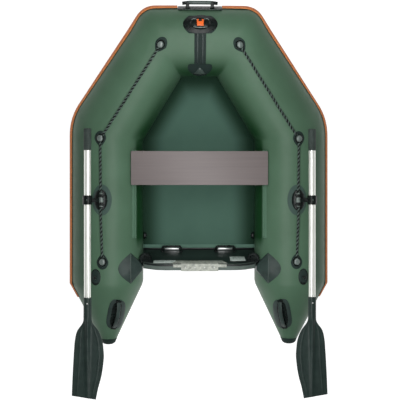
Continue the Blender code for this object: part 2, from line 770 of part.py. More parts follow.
def oar(word, side, axis):
    ox = side * OAR_X
    wall = cylinder_bmesh((ox, SHAFT_BACK, OAR_Z), (ox, SHAFT_FRONT, OAR_Z), SHAFT_R, 32)
    shaft = from_bmesh(f"{word}_oar_shaft", wall, "aluminium", Matrix(), axis)
    through = ((ox, SHAFT_BACK - 0.01, OAR_Z), (ox, SHAFT_FRONT + 0.01, OAR_Z))
    cut(shaft, cylinder_bmesh(*through, SHAFT_BORE, 32))
    grip = from_bmesh(
        f"{word}_oar_grip",
        cylinder_bmesh((ox, GRIP_BACK, OAR_Z), (ox, GRIP_FRONT, OAR_Z), 0.0200, 32),
        "foam_grip",
        Matrix(),
        axis,
    )
    sleeved = ((ox, GRIP_BACK - 0.01, OAR_Z), (ox, SHAFT_FRONT + GAP, OAR_Z))
    cut(grip, cylinder_bmesh(*sleeved, SHAFT_R + GAP, 32))
    throat_r = 0.0208
    rings = [
        blade_ring(side, THROAT_FRONT, 0, throat_r, throat_r, throat_r, 0),
        blade_ring(side, -0.600, 0, throat_r, throat_r, throat_r, 0),
    ]
    for k, (station, outboard, inboard) in enumerate(BLADE_OUTLINE):
        share = k / (len(BLADE_OUTLINE) - 1)
        rib = 0.0145 * (1 - share) + 0.002
        rings.append(blade_ring(side, station, 0, outboard, inboard, 0.0035, rib))
    rings.append(blade_ring(side, BLADE_HEEL, BLADE_HEEL - BLADE_TIP, 0.082, 0.044, 0.0030, 0.001))
    blade = from_bmesh(f"{word}_oar_blade", loft_bmesh(rings), "blade_plastic", Matrix(), axis)
    cut(blade, cylinder_bmesh((ox, SHAFT_BACK - GAP, OAR_Z), (ox, -0.50, OAR_Z), SHAFT_R + GAP, 32))
    at_button = Vector((ox, BUTTON_STATION, OAR_Z))
    drill = (at_button + Vector((0, 0, 0.010)), at_button + Vector((0, 0, 0.03)))
    cut(blade, cylinder_bmesh(*drill, BUTTON_R + 0.0005, 16))
    cut(shaft, cylinder_bmesh(*drill, BUTTON_R + 0.0005, 16))
    press_axis = pivot(f"{word}_oar_button_axis", at_button)
    stem = (at_button + Vector((0, 0, 0.011)), at_button + Vector((0, 0, throat_r + 0.003)))
    flange = (at_button + Vector((0, 0, 0.0075)), at_button + Vector((0, 0, 0.0120)))
    button = from_bmesh(
        f"{word}_oar_button",
        cylinder_bmesh(*stem, BUTTON_R, 16),
        "steel",
        Matrix(),
        press_axis,
    )
    join(button, cylinder_bmesh(*flange, 0.0075, 16))


def stow_post(word, side):
    """A mushroom button on a foot: an elastic loop over it holds the stowed oar."""
    centre = (side * 0.556, -0.412)
    profile = ((0, 0.0035), (0.35, 0.0035), (0.68, 0.003), (1, 0.0020))
    post = from_bmesh(
        f"{word}_oar_stow_post",
        moulding_bmesh(oval(centre, 0.027, 0.044, count=20), centre, profile),
        "black_nylon",
    )
    foot, _ = skin(*centre)
    top = 0.448
    join(post, cylinder_bmesh((foot.x, foot.y, foot.z + 0.0028), (foot.x, foot.y, top - 0.004), 0.0055, 16))
    join(post, cylinder_bmesh((foot.x, foot.y, top - 0.006), (foot.x, foot.y, top), 0.0095, 20, 0.0075))


# ---- seat --------------------------------------------------------------------------------------
def along_boat(outline, back, front):
    """Places an outline drawn in X and Z as an extrusion between two stations."""
    bm = plate_bmesh(outline, front - back)
    turn = Matrix.Rotation(math.pi / 2, 4, "X")
    bmesh.ops.transform(bm, matrix=Matrix.Translation((0, (front + back) / 2, 0)) @ turn, verts=bm.verts)
    return bm


def on_flank(side, points):
    """Turns (down the flank, off the skin) pairs at the seat rail into X and Z."""
    inboard = Vector((-math.sin(RAIL_ANGLE), math.cos(RAIL_ANGLE)))
    down = Vector((-math.cos(RAIL_ANGLE), -math.sin(RAIL_ANGLE)))
    root = Vector((KNEE.x, SIDE_R)) + inboard * SIDE_R
    out = []
    for slide, proud in points:
        spot = root + down * slide + inboard * proud
        out.append((side * spot.x, spot.y))
    return out


RAIL_PROFILE = (
    (-0.015, 0.0015), (-0.0025, 0.0040), (-0.0018, 0.0065), (-0.0042, 0.0070), (-0.0042, 0.0130),
    (0.0042, 0.0130), (0.0042, 0.0070), (0.0018, 0.0065), (0.0025, 0.0040), (0.015, 0.0015),
    (0.015, -0.00005), (0.0, 0.0006), (-0.015, -0.00005),
)
RUNNER_PROFILE = (
    (-0.0115, 0.0060), (-0.0026, 0.0060), (-0.0026, 0.0063), (-0.0049, 0.0063), (-0.0049, 0.0137),
    (0.0049, 0.0137), (0.0049, 0.0063), (0.0026, 0.0063), (0.0026, 0.0060), (0.0100, 0.0060),
    (0.0100, 0.0172), (-0.0020, 0.0190), (-0.0115, 0.0125),
)


def seat():
    """A plywood board on two runners; each runner is a channel round its rail's bead."""
    axis = pivot("seat_axis", (0, SEAT_STATION, SEAT_BOTTOM))
    board = rounded_rectangle(SEAT_SIZE[0], SEAT_SIZE[1], 0.006, 3)
    middle = Matrix.Translation((0, SEAT_STATION, SEAT_BOTTOM + SEAT_SIZE[2] / 2))
    plate("seat_board", board, SEAT_SIZE[2], "seat_plywood", middle, axis)
    front, back = SEAT_STATION + 0.080, SEAT_STATION - 0.080
    for word, side in SIDES.items():
        runner = along_boat(on_flank(side, RUNNER_PROFILE), back, front)
        from_bmesh(f"{word}_seat_runner", runner, "grey_nylon", Matrix(), axis)
        rail = along_boat(on_flank(side, RAIL_PROFILE), RAIL_BACK, RAIL_FRONT)
        lifted = Matrix.Translation((-side * math.sin(RAIL_ANGLE) * GAP, 0, math.cos(RAIL_ANGLE) * GAP))
        bmesh.ops.transform(rail, matrix=lifted, verts=rail.verts)
        from_bmesh(f"{word}_seat_rail", rail, "hull_pvc")


# ---- transom -----------------------------------------------------------------------------------
def transom_frame(depth):
    """Axes on the transom: X across, Y up the rake, Z aft; depth is aft of the inner face."""
    sine, cosine = math.sin(TRANSOM_RAKE), math.cos(TRANSOM_RAKE)
    turn = Matrix(((1, 0, 0, 0), (0, -sine, -cosine, 0), (0, cosine, -sine, 0), (0, 0, 0, 1)))
    return Matrix.Translation(TRANSOM_FOOT) @ turn @ Matrix.Translation((0, 0, depth))


TOP_EDGE = ((0.3105, 0.286), (0.303, 0.305), (0.250, 0.333), (0.222, 0.342), (0.185, 0.346))
SADDLE_WING = ((-0.150, 0.318), (-0.124, 0.268), (0.124, 0.268), (0.150, 0.318))
OUTER_PAD = ((-0.110, 0.215), (-0.095, 0.085), (0.095, 0.085), (0.110, 0.215))
FLANK_STEPS = (0.155, 0.115, 0.080, 0.050, 0.022, 0.0, -0.014)  # up the rake, where the board meets a tube


def top_edge(offset=0.0, end=0.0):
    """The board's top edge from starboard to port, moved outwards by an offset."""
    half = [Vector(point) for point in TOP_EDGE]
    half[0].y -= end
    points = half + [Vector((-point.x, point.y)) for point in half[::-1]]
    moved = []
    for i, point in enumerate(points):
        along = points[min(i + 1, len(points) - 1)] - points[max(i - 1, 0)]
        moved.append(point + Vector((along.y, -along.x)).normalized() * offset)
    return [(point.x, point.y) for point in moved]


def board_flank():
    """The board's starboard edge below the tubes' widest point, from the top down: it follows the tube."""
    edge = []
    for up in FLANK_STEPS:
        drop = SIDE_R - TRANSOM_FOOT.z - up * math.cos(TRANSOM_RAKE)
        clear = SIDE_R + 0.0015
        edge.append((min(KNEE.x - math.sqrt(clear**2 - drop**2), 0.384), up))
    return edge


def transom():
    middle = TRANSOM_THICK / 2
    flank = board_flank()
    port_flank = [(-x, up) for x, up in flank]
    outline = top_edge() + port_flank + flank[::-1]
    plate("transom_board", outline, TRANSOM_THICK, "transom_plywood", transom_frame(middle))
    band = top_edge(TRIM_CROWN)[1:-1] + top_edge(-TRIM_LAP)[::-1][1:-1]
    trim = plate("transom_trim", band, TRIM_THICK, "trim_vinyl", transom_frame(middle))
    foot = [(-TRANSOM_HALF, 0), (TRANSOM_HALF, 0)]
    groove = plate_bmesh(top_edge(GAP) + foot, TRANSOM_THICK + 2 * GAP)
    bmesh.ops.transform(groove, matrix=transom_frame(middle), verts=groove.verts)
    cut(trim, groove)

    lip = (TRIM_THICK - TRANSOM_THICK) / 2 + GAP
    under = TOP_EDGE[-1][1] - TRIM_LAP - 0.001
    crown = TOP_EDGE[-1][1] + TRIM_CROWN + GAP
    wall = 0.0035
    inner_foot, outer_foot = SADDLE_WING[1][1], 0.250
    section = [
        (GAP, inner_foot), (GAP, under), (lip, under), (lip, crown), (-TRANSOM_THICK - lip, crown),
        (-TRANSOM_THICK - lip, under), (-TRANSOM_THICK - GAP, under), (-TRANSOM_THICK - GAP, outer_foot),
        (-TRANSOM_THICK - GAP - wall, outer_foot), (-TRANSOM_THICK - lip - wall, under - wall),
        (-TRANSOM_THICK - lip - wall, crown + wall), (lip + wall, crown + wall),
        (lip + wall, under - wall), (GAP + wall, under - 2 * wall), (GAP + wall, inner_foot),
    ]
    to_section = Matrix(((0, 0, 1, 0), (0, 1, 0, 0), (-1, 0, 0, 0), (0, 0, 0, 1)))
    saddle = plate("motor_saddle", section, 0.200, "pad_plastic", transom_frame(0) @ to_section)
    wing = plate_bmesh(SADDLE_WING, wall)
    bmesh.ops.transform(wing, matrix=transom_frame(-GAP - wall / 2), verts=wing.verts)
    join(saddle, wing)
    pad_thick = 0.004
    pad_place = transom_frame(TRANSOM_THICK + GAP + pad_thick / 2)
    plate("motor_outer_pad", OUTER_PAD, pad_thick, "pad_plastic", pad_place)


BRACKET_TOP = (0.372, -0.286)  # the fore end of the wedge's curved edge, and its run aft and outboard
BRACKET_LENGTH, BRACKET_WIDTH = 0.1675, 0.066


def transom_bracket(word, side):
    """A moulded wedge between the side tube and the transom's shoulder."""
    reach = TRANSOM_HALF + 0.0012
    points = [
        (0.372, -0.368, 0.372), (0.372, -0.330, 0.367), (0.372, -0.405, 0.367),
        (reach, -0.354, 0.330), (reach, -0.382, 0.330), (reach, -0.352, 0.235), (reach, -0.388, 0.235),
    ]
    top_x, top_station = BRACKET_TOP
    steps = 8
    for i in range(steps + 1):
        share = i / steps
        x = top_x + BRACKET_WIDTH * math.sin(math.pi * share)
        height = skin(x, top_station)[0].z
        points.append((x, top_station - BRACKET_LENGTH * share, height + 0.0015))
        points.append((x, top_station - BRACKET_LENGTH * share, height - 0.060))
    bm = bmesh.new()
    for point in points:
        bm.verts.new(mirrored(point, side))
    hull = bmesh.ops.convex_hull(bm, input=bm.verts)
    loose = [vert for vert in hull["geom_interior"] if isinstance(vert, bmesh.types.BMVert)]
    bmesh.ops.delete(bm, geom=loose, context="VERTS")
    bracket = from_bmesh(f"{word}_transom_bracket", bm, "grey_nylon")
    middle_line = ((side * KNEE.x, -0.6, SIDE_R), (side * KNEE.x, 0, SIDE_R))
    cut(bracket, cylinder_bmesh(*middle_line, SIDE_R + 2 * GAP, TUBE_FACETS))


def transom_handle(name, middle_x):
    """A bent bar low on the inner face, to lift the boat by and to lash fuel to."""
    half, proud, height = 0.054, 0.034, 0.045
    frame = transom_frame(0)
    radius = 0.0065
    start = -GAP
    local = [
        (-half, height, start), (-half, height, -proud * 0.55), (-half * 0.86, height, -proud + radius),
        (half * 0.86, height, -proud + radius), (half, height, -proud * 0.55), (half, height, start),
    ]
    points = [frame @ Vector((x + middle_x, y, z)) for x, y, z in local]
    rod(name, points, radius, "black_nylon", 3)


def cone_handle(word, side):
    """A carrying handle on a stern cone: a moulded foot with a strap standing over it."""
    start, end = Vector((0.440, -0.545)), Vector((0.474, -0.700))
    centre = (start + end) / 2
    lean = math.atan2(start.x - end.x, start.y - end.y)
    middle = (side * centre.x, centre.y)
    handle = from_bmesh(
        f"{word}_cone_handle",
        moulding_bmesh(
            oval(middle, 0.034, 0.088, -side * lean, 24),
            middle,
            ((0, 0.003), (0.3, 0.003), (0.55, 0.003), (0.8, 0.0028), (1, 0.0020)),
            lift=5 * GAP,
        ),
        "black_nylon",
    )
    points = []
    rise = ((0.03, 0.0090), (0.13, 0.022), (0.29, 0.031), (0.5, 0.034))
    fall = tuple((1 - share, proud) for share, proud in rise[-2::-1])
    for share, proud in rise + fall:
        flat = start + (end - start) * share
        spot, normal = skin(side * flat.x, flat.y)
        points.append(spot + normal * proud)
    join(handle, rod_bmesh(points, 0.0065, 2))


def air_valve(word, side):
    """A chamber's inflation valve on the inner flank, with its bayonet cap."""
    outward = Vector((-side * math.sin(VALVE_ANGLE), 0, math.cos(VALVE_ANGLE)))
    root = Vector((side * KNEE.x, VALVE_STATION, SIDE_R)) + outward * (SIDE_R + 2 * GAP)
    body = from_bmesh(
        f"{word}_valve_body", cylinder_bmesh(root, root + outward * 0.004, 0.026, 28, 0.024), "grey_nylon"
    )
    join(body, cylinder_bmesh(root + outward * 0.002, root + outward * 0.012, 0.0145, 24))
    cut(body, cylinder_bmesh(root + outward * 0.003, root + outward * 0.02, 0.0105, 24))
    axis = pivot(f"{word}_valve_axis", root + outward * 0.012)
    cap = from_bmesh(
        f"{word}_valve_cap",
        cylinder_bmesh(root + outward * 0.0045, root + outward * 0.0175, 0.0195, 28, 0.0180),
        "black_nylon",
        Matrix(),
        axis,
    )
    cut(cap, cylinder_bmesh(root, root + outward * 0.0125, 0.0150, 28))
    grip_low = Vector((root + outward * 0.0165))
    grip = box_bmesh((-0.0145, -0.0025, 0), (0.0145, 0.0025, 0.006))
    turn = Vector((0, 0, 1)).rotation_difference(outward).to_matrix().to_4x4()
    bmesh.ops.transform(grip, matrix=Matrix.Translation(grip_low) @ turn, verts=grip.verts)
    join(cap, grip)


# ---- the boat ----------------------------------------------------------------------------------
build_hull()
bow_handle()
bow_fitting()
bow_strap()
seat()
transom()
for number, middle_x in enumerate((-0.154, 0.154)):
    transom_handle(f"{('port', 'starboard')[number]}_transom_handle", middle_x)
for word, side in SIDES.items():
    from_bmesh(f"{word}_lifeline", rod_bmesh(rope_route(side), ROPE_R, 2), "black_rope")
    for key in HOLDERS:
        cut(rope_holder(word, side, key), rope_tunnel(side))
    base, swing_axis = oarlock(word, side)
    cut(base, rope_tunnel(side))
    oar(word, side, swing_axis)
    stow_post(word, side)
    transom_bracket(word, side)
    cone_handle(word, side)
    air_valve(word, side)
bpy.context.view_layer.update()
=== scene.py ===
"""An inflatable dinghy with a raked transom, a sliding seat and a pair of oars.

Metres, +Z up, bow towards +Y, starboard towards +X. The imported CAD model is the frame. Lengths
along the boat are stations, measured forward from the oarlocks, as in the part's source.
"""

import math

import bmesh
import bpy
from mathutils import Matrix, Vector
from mathutils.bvhtree import BVHTree
from mathutils.kdtree import KDTree


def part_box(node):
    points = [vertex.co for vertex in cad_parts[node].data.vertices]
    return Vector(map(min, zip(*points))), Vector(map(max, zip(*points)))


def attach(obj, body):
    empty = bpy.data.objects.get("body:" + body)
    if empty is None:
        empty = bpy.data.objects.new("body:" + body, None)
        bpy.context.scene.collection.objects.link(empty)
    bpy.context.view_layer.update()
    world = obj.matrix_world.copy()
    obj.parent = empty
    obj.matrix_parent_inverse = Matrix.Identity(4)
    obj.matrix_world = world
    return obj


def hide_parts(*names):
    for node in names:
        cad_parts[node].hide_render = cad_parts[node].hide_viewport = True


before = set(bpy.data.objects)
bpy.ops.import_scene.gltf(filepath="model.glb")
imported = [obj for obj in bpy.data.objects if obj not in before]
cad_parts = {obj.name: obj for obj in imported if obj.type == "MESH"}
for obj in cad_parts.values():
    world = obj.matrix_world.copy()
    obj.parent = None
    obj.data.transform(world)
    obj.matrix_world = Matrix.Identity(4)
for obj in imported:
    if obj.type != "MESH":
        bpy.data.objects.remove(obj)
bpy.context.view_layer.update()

# ---- driving dimensions ----------------------------------------------------------------------
SIDES = {"port": -1, "starboard": 1}
SIDE_R = 0.200
BOW_R = 0.187
CONE_START = -0.459
CONE_LENGTH = 0.347
CONE_TAPER = 0.494
DATUM_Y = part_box("starboard_side_tube")[0].y - CONE_START
DATUM_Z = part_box("starboard_side_tube")[0].z


def spot(x, station, z):
    """A place in the boat's stations and heights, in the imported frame."""
    return Vector((x, station + DATUM_Y, z + DATUM_Z))


KNEE = spot(0.512, 0.393, SIDE_R)
CORNER = spot(0.200, 0.861, 0.315)
CONE_TIP_X = 0.505
FORWARD = Vector((0, 1, 0))
ALONG_QUARTER = (CORNER - KNEE).normalized()
ALONG_BOW = Vector((-1, 0, 0))
AFT_END = spot(0.512, CONE_START, SIDE_R)

PIVOT = spot(0.523, 0, 0.432)
OAR_X = 0.590
OAR = spot(OAR_X, 0, 0.475)
SHAFT_R = 0.018
THROAT_R = 0.0208

ROPE_R = 0.0055
HOLDERS = {"front": (0.2065, 0.8125), "middle": (0.5306, 0.3285), "rear": (0.519, -0.330)}
ROPE_CORNERS = (HOLDERS["front"], HOLDERS["middle"], (0.528, 0.056), (0.528, -0.070), HOLDERS["rear"])

TRANSOM_RAKE = math.radians(10.7)
TRANSOM_FOOT = spot(0, -0.285, 0.040)
TRANSOM_THICK = 0.025
TRANSOM_CROWN = 0.346 + 0.004  # up the rake to the top of the trim


# ---- camera and light -------------------------------------------------------------------------
CAMERA_PLACE = Vector((-0.100, DATUM_Y, 4.5))
CAMERA_LEAN = -0.0246
LENS = 69.0
WHITE = (1, 1, 1, 1)
SKY_STRENGTH = 0.22
PAPER_TONE = (0.35, 0.35, 0.35, 1)
PAPER_GLOW = 0.95
LAMPS = (  # name, size across and along, place, turn about Y in degrees, power in watts
    ("overhead", (2.4, 3.2), (0, 0, 3.6), 0, 14),
    ("strip_over_cockpit", (0.55, 3.0), (0, 0.05, 1.55), 0, 22),
    ("port_low", (0.4, 2.6), (-2.4, 0, 0.5), -83, 2),
    ("starboard_low", (0.4, 2.6), (2.4, 0, 0.5), 83, 2),
)


def studio():
    scene = bpy.context.scene
    scene.view_settings.view_transform = "Standard"
    camera = bpy.data.objects.new("camera", bpy.data.cameras.new("camera"))
    camera.data.lens = LENS
    camera.location = CAMERA_PLACE
    camera.rotation_euler = (0, CAMERA_LEAN, 0)
    scene.collection.objects.link(camera)
    scene.camera = camera

    world = bpy.data.worlds.new("studio")
    world.use_nodes = True
    sky = world.node_tree.nodes["Background"]
    sky.inputs["Color"].default_value = WHITE
    sky.inputs["Strength"].default_value = SKY_STRENGTH
    scene.world = world

    bm = bmesh.new()
    bmesh.ops.create_grid(bm, x_segments=1, y_segments=1, size=30)
    mesh = bpy.data.meshes.new("floor")
    bm.to_mesh(mesh)
    bm.free()
    ground = bpy.data.objects.new("floor", mesh)
    scene.collection.objects.link(ground)
    paper = bpy.data.materials.new("lit_white_paper")
    paper.use_nodes = True
    shader = paper.node_tree.nodes["Principled BSDF"]
    shader.inputs["Base Color"].default_value = PAPER_TONE
    shader.inputs["Roughness"].default_value = 0.9
    shader.inputs["Emission Color"].default_value = WHITE
    shader.inputs["Emission Strength"].default_value = PAPER_GLOW
    ground.data.materials.append(paper)

    for name, (wide, long), place, turn, power in LAMPS:
        data = bpy.data.lights.new(name, "AREA")
        data.shape = "RECTANGLE"
        data.size, data.size_y = wide, long
        data.energy = power
        lamp = bpy.data.objects.new(name, data)
        lamp.location = place
        lamp.rotation_euler = (0, math.radians(turn), 0)
        lamp.visible_camera = False
        scene.collection.objects.link(lamp)


# ---- finishes ----------------------------------------------------------------------------------
def linear(code):
    """An sRGB hex colour as the linear colour that a shader takes."""
    parts = [int(code[i : i + 2], 16) / 255 for i in (1, 3, 5)]
    return (*[p / 12.92 if p <= 0.04045 else ((p + 0.055) / 1.055) ** 2.4 for p in parts], 1.0)


def add(tree, kind, inputs=None, feeds=None, **settings):
    """Adds a node; inputs holds values or the sockets that feed it, and feeds is the socket it feeds."""
    made = tree.nodes.new(kind)
    for key, value in settings.items():
        setattr(made, key, value)
    for key, value in (inputs or {}).items():
        if isinstance(value, bpy.types.NodeSocket):
            tree.links.new(value, made.inputs[key])
        else:
            made.inputs[key].default_value = value
    if feeds is not None:
        tree.links.new(made.outputs[0], feeds)
    return made


def surface(name, **sockets):
    """A material, its nodes, its Principled shader and object coordinates; _ stands for a space."""
    made = bpy.data.materials.new(name)
    made.use_nodes = True
    tree = made.node_tree
    shader = tree.nodes["Principled BSDF"]
    for key, value in sockets.items():
        shader.inputs[key.replace("_", " ")].default_value = value
    return made, tree, shader, add(tree, "ShaderNodeTexCoord").outputs["Object"]


def set_tones(ramp, dark, light, low=0.0, high=1.0):
    """Gives a colour ramp its two tones and the values that they start at."""
    for element, place, code in zip(ramp.color_ramp.elements, (low, high), (dark, light)):
        element.position = place
        element.color = linear(code)


def toned(tree, shader, dark, light, scale, coords):
    """Colour that wanders between two tones over patches of 1/scale metres."""
    noise = add(tree, "ShaderNodeTexNoise", {"Vector": coords, "Scale": scale, "Detail": 3.0})
    ramp = add(tree, "ShaderNodeValToRGB", {"Fac": noise.outputs["Fac"]}, shader.inputs["Base Color"])
    set_tones(ramp, dark, light, 0.25, 0.75)
    return ramp


def woven(tree, coords, spacing, wander, detail):
    """Threads that cross both ways, as a height."""
    rows = []
    for axis in ("X", "Y"):
        wave = {"Vector": coords, "Scale": 0.5 / spacing / math.pi, "Distortion": wander, "Detail": detail}
        rows.append(add(tree, "ShaderNodeTexWave", wave, bands_direction=axis).outputs["Fac"])
    return add(tree, "ShaderNodeMath", {0: rows[0], 1: rows[1]}, operation="MULTIPLY").outputs[0]


def rubbed(tree, shader, coords, scale, detail, low, high):
    """Roughness that wanders between two values, as handling leaves it."""
    rub = add(tree, "ShaderNodeTexNoise", {"Vector": coords, "Scale": scale, "Detail": detail})
    sockets = {"Value": rub.outputs["Fac"], "From Min": 0.3, "From Max": 0.7, "To Min": low, "To Max": high}
    add(tree, "ShaderNodeMapRange", sockets, shader.inputs["Roughness"])


def coated_cloth(name, dark, light, thread=0.003, rough=0.42, painted_shade_tone=None, level=0.22):
    """PVC-coated polyester: a satin skin that lets the weave underneath show as a fine even grain.

    The threads are 1 mm apart; they are drawn at the spacing given, so that they show. The deepest
    tone, when given, is painted shade: the colour darkens towards it as far as the stored shade share
    says that the cloth lies in shadow inside the cockpit.
    """
    made, tree, shader, coords = surface(name, Roughness=rough, Specular_IOR_Level=level)
    ramp = toned(tree, shader, dark, light, 5.0, coords)
    # painted shade: mixes the colour towards the darkest tone where the cloth lies in shadow
    if painted_shade_tone:
        painted_shade = add(tree, "ShaderNodeAttribute", attribute_name="painted_shade")
        tones = {"Fac": painted_shade.outputs["Fac"], "Color1": ramp.outputs["Color"], "Color2": linear(painted_shade_tone)}
        add(tree, "ShaderNodeMixRGB", tones, shader.inputs["Base Color"])
    cloth = woven(tree, coords, thread, 0.4, 1.0)
    grain = add(tree, "ShaderNodeTexNoise", {"Vector": coords, "Scale": 900.0, "Detail": 2.0})
    mixed = add(tree, "ShaderNodeMath", {0: cloth, 1: grain.outputs["Fac"]}, operation="ADD")
    fine = add(tree, "ShaderNodeBump", {"Height": mixed.outputs[0], "Strength": 0.18, "Distance": 0.0004})
    soft = add(tree, "ShaderNodeTexNoise", {"Vector": coords, "Scale": 7.0, "Detail": 1.0})
    slack = {"Height": soft.outputs["Fac"], "Strength": 0.25, "Distance": 0.006}
    add(tree, "ShaderNodeBump", {**slack, "Normal": fine.outputs["Normal"]}, shader.inputs["Normal"])
    rubbed(tree, shader, coords, 34.0, 5.0, rough - 0.05, rough + 0.07)
    return made


def moulded_plastic(name, dark, light, rough=0.38, grain=0.0012, depth=0.00025, level=0.5):
    """Injection-moulded plastic: even colour, a spark-eroded grain and a roughness that wanders, as
    handling leaves it.
    """
    made, tree, shader, coords = surface(name, Roughness=rough, Specular_IOR_Level=level)
    toned(tree, shader, dark, light, 28.0, coords)
    spark = add(tree, "ShaderNodeTexNoise", {"Vector": coords, "Scale": 1 / grain, "Detail": 3.0})
    relief = {"Height": spark.outputs["Fac"], "Strength": 0.5, "Distance": depth}
    add(tree, "ShaderNodeBump", relief, shader.inputs["Normal"])
    rubbed(tree, shader, coords, 60.0, 4.0, rough - 0.08, rough + 0.08)
    return made


def webbing(name, dark, light, pitch=0.0035):
    """Woven polyester tape: rows of small ribs across, matt, with a faint shine on each rib."""
    sheen = {"Sheen_Weight": 0.08, "Sheen_Roughness": 0.5}
    made, tree, shader, coords = surface(name, Roughness=0.6, Specular_IOR_Level=0.2, **sheen)
    toned(tree, shader, dark, light, 120.0, coords)
    relief = {"Height": woven(tree, coords, pitch, 0.2, 2.0), "Strength": 0.6, "Distance": 0.0006}
    add(tree, "ShaderNodeBump", relief, shader.inputs["Normal"])
    return made


def laid_rope(name, dark, light):
    """Laid polypropylene: painted shade in its grooves, painted highlight on its strands' crests."""
    made, tree, shader, coords = surface(name, Roughness=0.6, Specular_IOR_Level=0.15)
    painted_crest_light = add(tree, "ShaderNodeAttribute", attribute_name="painted_crest_light").outputs["Fac"]
    fibres = {"Vector": coords, "Scale": 420.0, "Detail": 3.0}
    fibre = add(tree, "ShaderNodeTexNoise", fibres).outputs["Fac"]
    painted_strand_light = add(tree, "ShaderNodeMath", {0: painted_crest_light, 1: fibre}, operation="MULTIPLY")
    ramp = add(tree, "ShaderNodeValToRGB", {"Fac": painted_strand_light.outputs[0]}, shader.inputs["Base Color"])
    set_tones(ramp, dark, light, 0.18, 0.46)
    relief = {"Height": fibre, "Strength": 0.6, "Distance": 0.0006}
    add(tree, "ShaderNodeBump", relief, shader.inputs["Normal"])
    return made


def streaked(name, dark, light, stretch, detail, relief, wander=0.0, tones=(0.0, 1.0), **sockets):
    """A finish whose tone and relief run in streaks, finest along the axes with the most stretch."""
    made, tree, shader, coords = surface(name, **sockets)
    drawn = add(tree, "ShaderNodeMapping", {"Vector": coords, "Scale": stretch}).outputs["Vector"]
    streaks = {"Vector": drawn, "Scale": 1.0, "Detail": detail, "Distortion": wander}
    lines = add(tree, "ShaderNodeTexNoise", streaks).outputs["Fac"]
    ramp = add(tree, "ShaderNodeValToRGB", {"Fac": lines}, shader.inputs["Base Color"])
    set_tones(ramp, dark, light, *tones)
    strength, distance = relief
    height = {"Height": lines, "Strength": strength, "Distance": distance}
    add(tree, "ShaderNodeBump", height, shader.inputs["Normal"])
    return made


def anodised_aluminium(name):
    """Clear-anodised drawn tube: pale and silky, with fine draw lines along its length."""
    looks = {"Metallic": 0.55, "Roughness": 0.34}
    return streaked(name, "#EDF1E9", "#FBFDF6", (900.0, 6.0, 900.0), 3.0, (0.15, 0.0001), **looks)


def stainless_steel(name):
    """Rolled stainless: mid grey, bright, with short brushed scratches."""
    looks = {"Metallic": 1.0, "Roughness": 0.28}
    return streaked(name, "#B4B8B8", "#E4E6E4", (40.0, 900.0, 900.0), 4.0, (0.2, 0.0001), **looks)


def faced_plywood(name, dark, light, rough):
    """Phenol-faced birch ply: a smooth film with the ghost of the grain running across the boat."""
    looks = {"Roughness": rough, "Specular_IOR_Level": 0.4}
    return streaked(name, dark, light, (2.0, 90.0, 90.0), 6.0, (0.12, 0.0003), 0.6, (0.30, 0.70), **looks)


def scuffed_plastic(name):
    """A polypropylene clamp pad: pale, matt, and scratched every way by motor clamps."""
    made, tree, shader, coords = surface(name, Roughness=0.6, Specular_IOR_Level=0.4)
    scuffs = {"Vector": coords, "Scale": 55.0, "Detail": 6.0, "Roughness": 0.7}
    blotch = add(tree, "ShaderNodeTexNoise", scuffs).outputs["Fac"]
    ramp = add(tree, "ShaderNodeValToRGB", {"Fac": blotch}, shader.inputs["Base Color"])
    set_tones(ramp, "#7E837C", "#C6CABF", 0.32, 0.66)
    relief = {"Height": blotch, "Strength": 0.5, "Distance": 0.0008}
    add(tree, "ShaderNodeBump", relief, shader.inputs["Normal"])
    return made


